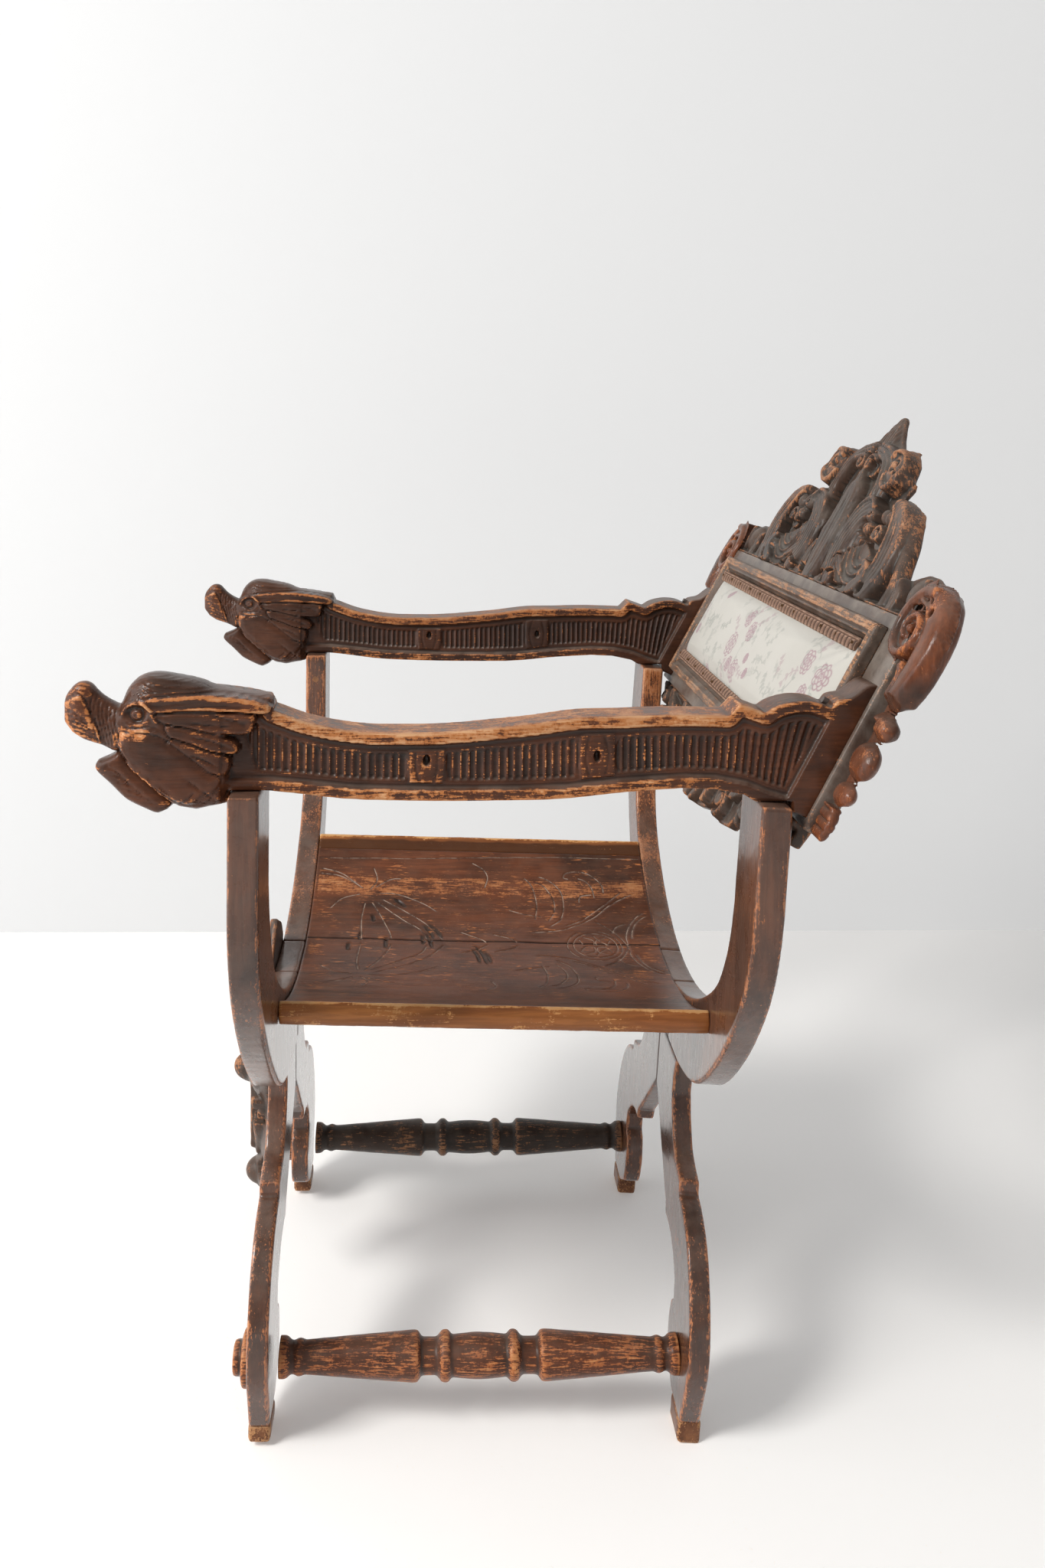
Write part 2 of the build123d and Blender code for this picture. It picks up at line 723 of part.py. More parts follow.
arm_pegs = []
for side, hand in ((1, "left"), (-1, "right")):
    for name, inner, top, y in (
        ("front", front_upright_inner, front_upright_height, front_rear_face - frame_thickness / 2),
        ("back", back_upright_inner, back_upright_height,
         back_frame_y(back_upright_height - peg_drop) + frame_thickness / 2),
    ):
        level = top - peg_drop
        start = (side * inner, y, level)
        end = (side * (inner + peg_length), y, level)
        peg = rod(start, end, peg_diameter)
        arm_pegs.append(peg)
        nodes[f"{name}_arch_{hand}"] = nodes[f"{name}_arch_{hand}"] - peg

groups = {
    "frame_dowels": front_dowels + back_dowels,
    "arm_dowels": arm_dowels,
    "arm_pegs": arm_pegs,
    "back_screws": back_screws,
    "gimp_nails": nails,
}

# ---- origin and export ---------------------------------------------------------------------------------

everything = list(nodes.values())
for members in groups.values():
    everything.extend(members)
boxes = [shape.bounding_box() for shape in everything]
low = [min(getattr(box.min, axis) for box in boxes) for axis in "XYZ"]
high = [max(getattr(box.max, axis) for box in boxes) for axis in "XYZ"]
to_origin = Pos(-(low[0] + high[0]) / 2, -(low[1] + high[1]) / 2, -low[2])
print("overall", [round(h - l, 1) for l, h in zip(low, high)], "shift", to_origin.position)

for node, shape in nodes.items():
    solids = (to_origin * shape).solids()
    if len(solids) != 1:
        print("expected one solid in", node, "found", len(solids))
    export_step(solids[0], f"parts/{node}.step")
for node, members in groups.items():
    solids = [(to_origin * member).solids()[0] for member in members]
    export_step(Compound(children=solids), f"parts/{node}.step")
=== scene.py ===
import math
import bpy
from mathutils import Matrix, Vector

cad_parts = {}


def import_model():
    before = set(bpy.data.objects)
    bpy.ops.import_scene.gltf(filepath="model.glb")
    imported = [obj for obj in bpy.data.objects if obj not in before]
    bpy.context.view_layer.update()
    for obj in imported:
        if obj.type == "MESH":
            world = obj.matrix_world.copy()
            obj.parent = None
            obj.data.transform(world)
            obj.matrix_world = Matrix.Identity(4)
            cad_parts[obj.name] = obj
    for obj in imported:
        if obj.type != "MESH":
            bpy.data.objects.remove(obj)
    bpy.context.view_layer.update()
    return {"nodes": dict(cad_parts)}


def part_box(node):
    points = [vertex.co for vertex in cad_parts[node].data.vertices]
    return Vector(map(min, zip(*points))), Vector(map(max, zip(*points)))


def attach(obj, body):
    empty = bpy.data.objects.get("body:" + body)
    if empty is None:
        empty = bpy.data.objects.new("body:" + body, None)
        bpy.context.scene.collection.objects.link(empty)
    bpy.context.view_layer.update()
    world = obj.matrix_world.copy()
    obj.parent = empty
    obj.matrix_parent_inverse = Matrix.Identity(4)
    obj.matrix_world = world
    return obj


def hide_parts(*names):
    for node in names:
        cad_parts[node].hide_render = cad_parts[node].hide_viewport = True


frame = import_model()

from types import SimpleNamespace

import bpy
import numpy as np
from mathutils import Matrix, Vector

# Drawings are in millimetres. Their y puts the rear face of the front frame at -271.
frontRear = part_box("front_arch_left")[1].y * 1000
yShift = frontRear + 271.0

# the raked back is drawn on its own plane: x across, s up the slope, n out of the front face
rake = math.radians(28.5)
boardOrigin = np.array([0.0, 247.5 + yShift, 733.6])
boardUp = np.array([0.0, math.sin(rake), math.cos(rake)])
boardOut = np.array([0.0, -math.cos(rake), math.sin(rake)])


# ---- small tools ----

def smoothPath(points, step=2.0, closed=False):
    # a smooth line through the points, as short straight runs
    p = np.array(points, float)
    count = len(p)
    if closed:
        before, after, last = np.roll(p, 1, 0), np.roll(p, -1, 0), np.roll(p, -2, 0)
        spans = range(count)
    else:
        before = np.vstack([2 * p[0] - p[1], p[:-1]])
        after = np.vstack([p[1:], 2 * p[-1] - p[-2]])
        last = np.vstack([p[2:], 2 * p[-1] - p[-2], p[-1]])
        spans = range(count - 1)
    out = []
    for i in spans:
        length = np.linalg.norm(after[i] - p[i])
        n = max(2, int(length / step) + 1)
        t = np.linspace(0, 1, n, endpoint=False)[:, None]
        a = 2 * p[i]
        b = after[i] - before[i]
        c = 2 * before[i] - 5 * p[i] + 4 * after[i] - last[i]
        d = -before[i] + 3 * p[i] - 3 * after[i] + last[i]
        out.append(0.5 * (a + b * t + c * t * t + d * t * t * t))
    if not closed:
        out.append(p[-1:])
    return np.vstack(out)


def arcPath(cx, cy, radius, start, end, count=24):
    # start and end in degrees
    t = np.radians(np.linspace(start, end, count))
    return np.stack([cx + radius * np.cos(t), cy + radius * np.sin(t)], 1)


def spiralPath(cx, cy, outer, inner, start, turns, count=60):
    # a scroll that winds in from its outer radius
    t = np.linspace(0, 1, count)
    angle = np.radians(start) + t * turns * 2 * math.pi
    radius = outer * (inner / outer) ** t
    return np.stack([cx + radius * np.cos(angle), cy + radius * np.sin(angle)], 1)


def smoothStep(x, low, high):
    t = np.clip((x - low) / (high - low), 0, 1)
    return t * t * (3 - 2 * t)


def dome(x):
    # quarter circle rise from 0 to 1
    t = 1 - np.clip(x, 0, 1)
    return np.sqrt(np.maximum(0, 1 - t * t))


def lumps(p, size, seed):
    # smooth random values between -1 and 1, the same for the same place
    table = np.random.default_rng(seed).uniform(-1, 1, 4096)
    q = p / size
    base = np.floor(q).astype(np.int64)
    f = q - base
    f = f * f * (3 - 2 * f)
    total = np.zeros(p.shape[:-1])
    for dx in (0, 1):
        for dy in (0, 1):
            for dz in (0, 1):
                corner = base + np.array([dx, dy, dz])
                key = (corner[..., 0] * 73856093 ^ corner[..., 1] * 19349663 ^ corner[..., 2] *
                    83492791) & 4095
                wx = f[..., 0] if dx else 1 - f[..., 0]
                wy = f[..., 1] if dy else 1 - f[..., 1]
                wz = f[..., 2] if dz else 1 - f[..., 2]
                total += table[key] * wx * wy * wz
    return total


def newField(u0, u1, v0, v1, step):
    # a drawing board: a grid of heights over u and v
    u = np.arange(u0, u1 + step, step)
    v = np.arange(v0, v1 + step, step)
    gu, gv = np.meshgrid(u, v, indexing="ij")
    return SimpleNamespace(u=u, v=v, gu=gu, gv=gv, step=step, h=np.zeros(gu.shape))


def overlay(field, heights):
    # the same drawing board with other heights
    return SimpleNamespace(**{**vars(field), "h": heights})


def pickField(field, values, grid):
    # the values drawn on a board, read at a net's points
    iu = np.clip(((grid[:, 0] - field.u[0]) / field.step).round().astype(int), 0, len(field.u) - 1)
    iv = np.clip(((grid[:, 1] - field.v[0]) / field.step).round().astype(int), 0, len(field.v) - 1)
    return values[iu, iv]


def windowOf(field, points, reach):
    low = points.min(0) - reach
    high = points.max(0) + reach
    i0, i1 = np.searchsorted(field.u, [low[0], high[0]])
    j0, j1 = np.searchsorted(field.v, [low[1], high[1]])
    return slice(i0, i1), slice(j0, j1)


def pathDistance(points, gu, gv, total=False):
    # distance to the line, share of the way along it, and side (left is positive)
    best = np.full(gu.shape, 1e12)
    share = np.zeros(gu.shape)
    side = np.ones(gu.shape)
    lengths = np.linalg.norm(np.diff(points, axis=0), axis=1)
    walked = np.concatenate([[0], np.cumsum(lengths)])
    for i in range(len(points) - 1):
        if lengths[i] < 1e-9:
            continue
        a = points[i]
        d = points[i + 1] - a
        t = np.clip(((gu - a[0]) * d[0] + (gv - a[1]) * d[1]) / lengths[i] ** 2, 0, 1)
        eu = gu - a[0] - t * d[0]
        ev = gv - a[1] - t * d[1]
        dist = eu * eu + ev * ev
        near = dist < best
        best = np.where(near, dist, best)
        share = np.where(near, (walked[i] + t * lengths[i]) / walked[-1], share)
        side = np.where(near, np.sign(d[0] * ev - d[1] * eu), side)
    return np.sqrt(best), share, side


def insideDistance(points, gu, gv):
    # distance to a closed outline, negative inside
    closed = np.vstack([points, points[:1]])
    dist = pathDistance(closed, gu, gv)[0]
    odd = np.zeros(gu.shape, bool)
    for a, b in zip(closed[:-1], closed[1:]):
        if a[1] == b[1]:
            continue
        crosses = (a[1] > gv) != (b[1] > gv)
        odd ^= crosses & (gu < a[0] + (gv - a[1]) * (b[0] - a[0]) / (b[1] - a[1]))
    return np.where(odd, -dist, dist)


def groove(field, points, width, depth, taper=0.15, power=1.5):
    # cuts a channel along a line; it fades out at both ends
    pts = np.array(points, float)
    win = windowOf(field, pts, width)
    gu, gv = field.gu[win], field.gv[win]
    if gu.size == 0:
        return
    dist, share, _ = pathDistance(pts, gu, gv)
    fade = smoothStep(share, 0, taper) * smoothStep(1 - share, 0, taper) if taper else 1.0
    shape = np.clip(1 - (dist / (width / 2)) ** 2, 0, 1) ** power
    field.h[win] -= depth * fade * shape


def ridge(field, points, width, height, taper=0.15, power=1.0):
    groove(field, points, width, -height, taper, power)


def surfaceNet(f, origin, step):
    # quads around the places where f is negative
    inside = f < 0
    nx, ny, nz = f.shape
    s = inside.astype(np.int8)
    count = (s[:-1, :-1, :-1] + s[1:, :-1, :-1] + s[:-1, 1:, :-1] + s[1:, 1:, :-1]
             + s[:-1, :-1, 1:] + s[1:, :-1, 1:] + s[:-1, 1:, 1:] + s[1:, 1:, 1:])
    active = (count > 0) & (count < 8)
    ci, cj, ck = np.nonzero(active)
    index = np.full(active.shape, -1, np.int32)
    index[ci, cj, ck] = np.arange(len(ci))
    flat = f.ravel()
    strides = (ny * nz, nz, 1)
    start = ci * strides[0] + cj * strides[1] + ck
    total = np.zeros((len(ci), 3))
    hits = np.zeros(len(ci))
    for axis in range(3):
        others = [a for a in range(3) if a != axis]
        for p in (0, 1):
            for q in (0, 1):
                corner = np.zeros(3, int)
                corner[others[0]] = p
                corner[others[1]] = q
                a = start + sum(corner[k] * strides[k] for k in range(3))
                fa = flat[a]
                fb = flat[a + strides[axis]]
                cross = (fa < 0) != (fb < 0)
                t = np.where(cross, fa / np.where(cross, fa - fb, 1), 0)
                place = np.tile(corner.astype(float), (len(ci), 1))
                place[:, axis] = t
                total[cross] += place[cross]
                hits[cross] += 1
    verts = (np.stack([ci, cj, ck], 1) + total / hits[:, None]) * step + np.array(origin)
    faces = []
    for axis in range(3):
        a = [slice(1, -1)] * 3
        a[axis] = slice(0, -1)
        b = [slice(1, -1)] * 3
        b[axis] = slice(1, None)
        change = inside[tuple(a)] != inside[tuple(b)]
        i, j, k = np.nonzero(change)
        cell = [i, j, k]
        for other in range(3):
            if other != axis:
                cell[other] = cell[other] + 1
        one, two = [o for o in range(3) if o != axis]
        corners = []
        for d1, d2 in ((-1, -1), (0, -1), (0, 0), (-1, 0)):
            c = list(cell)
            c[one] = c[one] + d1
            c[two] = c[two] + d2
            corners.append(index[c[0], c[1], c[2]])
        quad = np.stack(corners, 1)
        firstInside = inside[tuple(a)][i, j, k]
        flip = firstInside if axis == 1 else ~firstInside
        quad[flip] = quad[flip][:, ::-1]
        faces.append(quad)
    return verts, np.vstack(faces)


def rounded(a, b, r):
    # meets two distances in an edge rounded by r
    return np.sqrt(np.maximum(a, 0) ** 2 + np.maximum(b, 0) ** 2) + np.minimum(np.maximum(a, b), 0) - r


def layOver(field, win, inside, value):
    # raises the field to a value where it is lower
    part = field.h[win]
    field.h[win] = np.where(inside, np.maximum(part, value), part)


def cut(field, points, width, depth, taper=0.15, step=2):
    groove(field, smoothPath(points, step), width, depth, taper)


def sheetFaces(rows, cols):
    # quads of a closed slab: its upper grid, its lower grid and the walls between
    n = rows * cols
    index = np.arange(n).reshape(rows, cols)
    quads = np.stack([index[:-1, :-1], index[1:, :-1], index[1:, 1:], index[:-1, 1:]], -1).reshape(-1, 4)
    walls = [np.stack([e[:-1], e[:-1] + n, e[1:] + n, e[1:]], 1)
             for e in (index[0, ::-1], index[-1, :], index[:, 0], index[::-1, -1])]
    return np.vstack([quads, quads[:, ::-1] + n] + walls)


def meshPoints(mesh):
    # a mesh's points in millimetres
    co = np.zeros(len(mesh.vertices) * 3)
    mesh.vertices.foreach_get("co", co)
    return co.reshape(-1, 3) * 1000


def relax(verts, faces, rounds, amount=0.5):
    # evens out the surface a little
    a = np.concatenate([faces[:, 0], faces[:, 1], faces[:, 2], faces[:, 3]])
    b = np.concatenate([faces[:, 1], faces[:, 2], faces[:, 3], faces[:, 0]])
    n = len(verts)
    near = np.bincount(a, minlength=n) + np.bincount(b, minlength=n)
    near = np.maximum(near, 1)
    v = verts.copy()
    for _ in range(rounds):
        mean = np.empty_like(v)
        for k in range(3):
            mean[:, k] = (np.bincount(a, v[b, k], n) + np.bincount(b, v[a, k], n)) / near
        v += amount * (mean - v)
    return v


def meshPiece(name, verts, faces, marks=None):
    # a smooth-shaded object from points in millimetres and quads
    mesh = bpy.data.meshes.new(name)
    mesh.vertices.add(len(verts))
    mesh.vertices.foreach_set("co", (verts / 1000.0).astype(np.float32).ravel())
    sides = faces.shape[1]
    mesh.loops.add(len(faces) * sides)
    mesh.loops.foreach_set("vertex_index", faces.astype(np.int32).ravel())
    mesh.polygons.add(len(faces))
    mesh.polygons.foreach_set("loop_start", np.arange(0, len(faces) * sides, sides, dtype=np.int32))
    mesh.update(calc_edges=True)
    mesh.validate()
    mesh.shade_smooth()
    for key, values in (marks or {}).items():
        layer = mesh.attributes.new(key, "FLOAT", "POINT")
        layer.data.foreach_set("value", np.asarray(values, np.float32))
    obj = bpy.data.objects.new(name, mesh)
    bpy.context.scene.collection.objects.link(obj)
    return obj


def normalsOf(verts, faces):
    n = np.zeros_like(verts)
    a, b, c, d = (verts[faces[:, k]] for k in range(4))
    flat = np.cross(c - a, d - b)
    for k in range(4):
        for axis in range(3):
            n[:, axis] += np.bincount(faces[:, k], flat[:, axis], len(verts))
    return n / np.maximum(np.linalg.norm(n, axis=1, keepdims=True), 1e-9)


def edgeMark(verts, faces, rounds):
    # how far each point stands out of its smoothed surroundings, in millimetres
    soft = relax(verts, faces, rounds, 0.7)
    return ((verts - soft) * normalsOf(verts, faces)).sum(1)


def addPiece(name, verts, faces, material, replaces=(), extra=None, uneven=0.12, fineRounds=6,
        broadRounds=30):
    # finishes a wooden piece: hand-worked unevenness, wear marks, material, body
    normal = normalsOf(verts, faces)
    if uneven:
        verts = verts + normal * (lumps(verts, 9.0, 11) * uneven + lumps(verts, 3.2, 12) * uneven *
            0.35)[:, None]
        verts[:, 2] = np.maximum(verts[:, 2], 0.1)
    marks = {"edge": edgeMark(verts, faces, fineRounds), "swell": edgeMark(verts, faces, broadRounds)}
    marks.update(extra or {})
    obj = meshPiece(name, verts, faces, marks)
    obj.data.materials.append(material)
    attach(obj, "root")
    if replaces:
        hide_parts(*replaces)
    print("made", name, len(faces), "faces")
    return obj


# ---- shader tools ----

class Tree:
    # short ways to add and join shader nodes
    def __init__(self, nodeTree):
        self.tree = nodeTree

    def add(self, kind, settings=None, **links):
        node = self.tree.nodes.new(kind)
        for key, value in (settings or {}).items():
            setattr(node, key, value)
        for key, value in links.items():
            self.feed(node, key.replace("_", " "), value)
        return node

    def feed(self, node, key, value):
        socket = node.inputs[int(key[1:])] if key[0] == "i" and key[1:].isdigit() else node.inputs[key]
        if isinstance(value, bpy.types.NodeSocket):
            self.tree.links.new(value, socket)
        elif hasattr(socket, "default_value"):
            socket.default_value = value

    def math(self, operation, a, b=0.0, c=0.0, clamp=False):
        node = self.tree.nodes.new("ShaderNodeMath")
        node.operation = operation
        node.use_clamp = clamp
        for i, value in enumerate((a, b, c)):
            self.feed(node, f"i{i}", value)
        return node.outputs[0]

    def times(self, a, b, clamp=False):
        return self.math("MULTIPLY", a, b, clamp=clamp)

    def plus(self, a, b, clamp=False):
        return self.math("ADD", a, b, clamp=clamp)

    def minus(self, a, b):
        return self.math("SUBTRACT", a, b)

    def mark(self, name):
        # one of the values kept on the mesh's points
        return self.add("ShaderNodeAttribute", {"attribute_name": name}).outputs["Fac"]

    def place(self):
        return self.add("ShaderNodeTexCoord").outputs["Object"]

    def vector(self, operation, a, b=(0, 0, 0)):
        node = self.tree.nodes.new("ShaderNodeVectorMath")
        node.operation = operation
        self.feed(node, "i0", a)
        self.feed(node, "i1", b)
        return node.outputs[0]

    def mix(self, share, a, b, blend="MIX"):
        node = self.tree.nodes.new("ShaderNodeMix")
        node.data_type = "RGBA"
        node.blend_type = blend
        self.feed(node, "i0", share)
        self.feed(node, "i6", a)
        self.feed(node, "i7", b)
        return node.outputs[2]

    def band(self, value, low, high, outLow=0.0, outHigh=1.0):
        # smooth step from low to high
        node = self.tree.nodes.new("ShaderNodeMapRange")
        node.interpolation_type = "SMOOTHSTEP"
        for i, v in enumerate((value, low, high, outLow, outHigh)):
            self.feed(node, f"i{i}", v)
        return node.outputs[0]

    def noise(self, vector, scale, detail=3.0, rough=0.55, distort=0.0):
        node = self.tree.nodes.new("ShaderNodeTexNoise")
        self.feed(node, "Vector", vector)
        self.feed(node, "Scale", scale)
        self.feed(node, "Detail", detail)
        self.feed(node, "Roughness", rough)
        self.feed(node, "Distortion", distort)
        return node.outputs["Fac"]


def colour(r, g, b):
    return (r, g, b, 1.0)


def shade(tint, amount):
    return colour(*[c * amount for c in tint])


def newGroup(name, inputs, outputs):
    # inputs are (name, kind, value); outputs are (name, kind)
    group = bpy.data.node_groups.new(name, "ShaderNodeTree")
    for label, kind, value in inputs:
        socket = group.interface.new_socket(label, in_out="INPUT", socket_type="NodeSocket" + kind)
        socket.default_value = value
    for label, kind in outputs:
        group.interface.new_socket(label, in_out="OUTPUT", socket_type="NodeSocket" + kind)
    tree = Tree(group)
    source = group.nodes.new("NodeGroupInput").outputs
    return group, tree, source, group.nodes.new("NodeGroupOutput")


def placeGroup(tree, group, values):
    node = tree.tree.nodes.new("ShaderNodeGroup")
    node.node_tree = group
    for key, value in values.items():
        tree.feed(node, key, value)
    return node.outputs


def woodGrainGroup():
    # long fibres, wider bands and slow stains
    group, t, i, out = newGroup("woodGrain", (
        ("Place", "Vector", (0, 0, 0)), ("Run", "Vector", (1, 1, 1)), ("Fibre Scale", "Float", 260.0),
        ("Band Scale", "Float", 30.0), ("Stain Scale", "Float", 9.0)),
        (("Fibre", "Float"), ("Band", "Float"), ("Stain", "Float")))
    along = t.vector("MULTIPLY", i["Place"], i["Run"])
    fibre = t.noise(along, i["Fibre Scale"], 4.0, 0.6, 0.4)
    band = t.noise(along, i["Band Scale"], 3.0, 0.55, 1.2)
    stain = t.noise(i["Place"], i["Stain Scale"], 4.0, 0.6, 0.3)
    t.feed(out, "Fibre", t.band(fibre, 0.36, 0.64))
    t.feed(out, "Band", t.band(band, 0.35, 0.65))
    t.feed(out, "Stain", t.band(stain, 0.35, 0.65))
    return group


def edgeWearGroup():
    # finish rubbed off what stands out; dirt and painted shade in what lies deep
    group, t, i, out = newGroup("edgeWear", (
        ("Place", "Vector", (0, 0, 0)), ("Run", "Vector", (1, 1, 1)), ("Edge", "Float", 0.0),
        ("Swell", "Float", 0.0), ("Rub", "Float", 0.0), ("Reach", "Float", 0.45), ("Patch", "Float", 45.0),
        ("Break Up", "Float", 1.0), ("Dirt Reach", "Float", 0.35), ("Patch Weight", "Float", 2.6),
        ("Streak Weight", "Float", 2.2)),
        (("Worn", "Float"), ("Deep", "Float"), ("Rubbed", "Float"), ("Pale", "Float")))
    run = t.vector("MULTIPLY", i["Place"], i["Run"])
    patch = t.minus(t.noise(i["Place"], i["Patch"], 3.0, 0.55, 0.5), 0.5)
    streak = t.minus(t.noise(run, 620.0, 4.0, 0.65, 0.3), 0.5)
    fleck = t.minus(t.noise(i["Place"], 330.0, 4.0, 0.7, 0.2), 0.5)
    both = t.plus(t.times(patch, i["Patch Weight"]), t.times(streak, i["Streak Weight"]))
    both = t.plus(both, t.times(fleck, 1.7))
    uneven = t.times(both, i["Break Up"])
    fine = t.times(t.math("MINIMUM", t.math("DIVIDE", i["Edge"], i["Reach"]), 1.7), 0.5)
    broad = t.times(t.math("MINIMUM", i["Swell"], 2.0), 0.09)
    score = t.plus(t.plus(fine, broad), i["Rub"])
    t.feed(out, "Worn", t.band(t.plus(score, uneven), 0.50, 0.68))
    t.feed(out, "Pale", t.band(t.plus(score, uneven), 0.7, 1.35))
    t.feed(out, "Rubbed", t.band(t.plus(score, t.times(uneven, 0.5)), 0.05, 0.75))
    # Deep: the hollows, later darkened as dirt and painted shade
    low = t.times(t.math("DIVIDE", i["Edge"], i["Dirt Reach"]), -1.0)
    t.feed(out, "Deep", t.band(t.plus(low, t.times(uneven, 0.2)), 0.2, 1.2))
    return group


def dustGroup():
    # pale film on what faces up and in corners
    group, t, i, out = newGroup("dustFilm", (
        ("Place", "Vector", (0, 0, 0)), ("Normal", "Vector", (0, 0, 1)), ("Deep", "Float", 0.0),
        ("Amount", "Float", 0.5), ("Everywhere", "Float", 0.1)),
        (("Dust", "Float"),))
    split = t.add("ShaderNodeSeparateXYZ", Vector=i["Normal"])
    up = t.band(split.outputs[2], 0.05, 0.95)
    cloud = t.band(t.noise(i["Place"], 38.0, 5.0, 0.62, 0.3), 0.3, 0.72)
    settled = t.times(up, t.plus(t.times(cloud, 0.7), 0.35))
    corner = t.times(t.times(i["Deep"], 0.35), t.plus(up, 0.2))
    film = t.times(i["Everywhere"], t.plus(cloud, 0.3))
    total = t.plus(t.times(t.plus(settled, corner), i["Amount"]), film, clamp=True)
    t.feed(out, "Dust", total)
    return group


def wormGroup():
    # small round flight holes here and there
    group, t, i, out = newGroup("wormHoles", (
        ("Place", "Vector", (0, 0, 0)), ("Spread", "Float", 90.0), ("Share", "Float", 0.12),
        ("Size", "Float", 0.07)),
        (("Hole", "Float"),))
    cell = t.add("ShaderNodeTexVoronoi", {"feature": "F1"}, Vector=i["Place"], Scale=i["Spread"])
    near = t.band(cell.outputs["Distance"], i["Size"], t.times(i["Size"], 0.6))
    split = t.add("ShaderNodeSeparateColor", Color=cell.outputs["Color"])
    chosen = t.math("LESS_THAN", split.outputs[0], i["Share"])
    clustered = t.math("GREATER_THAN", t.noise(i["Place"], 9.0, 2.0), 0.5)
    t.feed(out, "Hole", t.times(t.times(near, chosen), clustered))
    return group


def scratchGroup():
    # fine straight scratches that cross the grain
    group, t, i, out = newGroup("scratches", (("Place", "Vector", (0, 0, 0)),
        ("Run", "Vector", (30, 400, 400)), ("Share", "Float", 0.5), ("From", "Float", 0.72)),
        (("Scratch", "Float"),))
    lines = t.noise(t.vector("MULTIPLY", i["Place"], i["Run"]), 1.0, 2.0, 0.5, 0.2)
    where = t.band(t.noise(i["Place"], 24.0, 3.0), 0.45, 0.65)
    thin = t.band(lines, i["From"], t.plus(i["From"], 0.07))
    t.feed(out, "Scratch", t.times(t.times(thin, where), i["Share"]))
    return group


def weaveGroup():
    # fine crossed threads, each a little broken
    group, t, i, out = newGroup("weave", (
        ("Place", "Vector", (0, 0, 0)), ("Count", "Float", 1400.0)), (("Thread", "Float"),))
    split = t.add("ShaderNodeSeparateXYZ", Vector=i["Place"])
    across = t.math("SINE", t.times(split.outputs[0], t.times(i["Count"], 6.2832)))
    up = t.math("SINE", t.times(split.outputs[2], t.times(i["Count"], 6.2832)))
    both = t.plus(t.times(t.times(across, up), 0.25), 0.5)
    slub = t.noise(i["Place"], 900.0, 3.0, 0.6)
    t.feed(out, "Thread", t.plus(t.times(both, 0.5), t.times(slub, 0.5)))
    return group


groups = {
    "grain": woodGrainGroup(),
    "weave": weaveGroup(),
    "wear": edgeWearGroup(),
    "dust": dustGroup(),
    "worm": wormGroup(),
    "scratch": scratchGroup(),
}


def setSockets(shader, values):
    for key, value in values.items():
        shader.inputs[key].default_value = value


def newMaterial(name):
    material = bpy.data.materials.new(name)
    material.use_nodes = True
    tree = Tree(material.node_tree)
    shader = material.node_tree.nodes["Principled BSDF"]
    return material, tree, shader


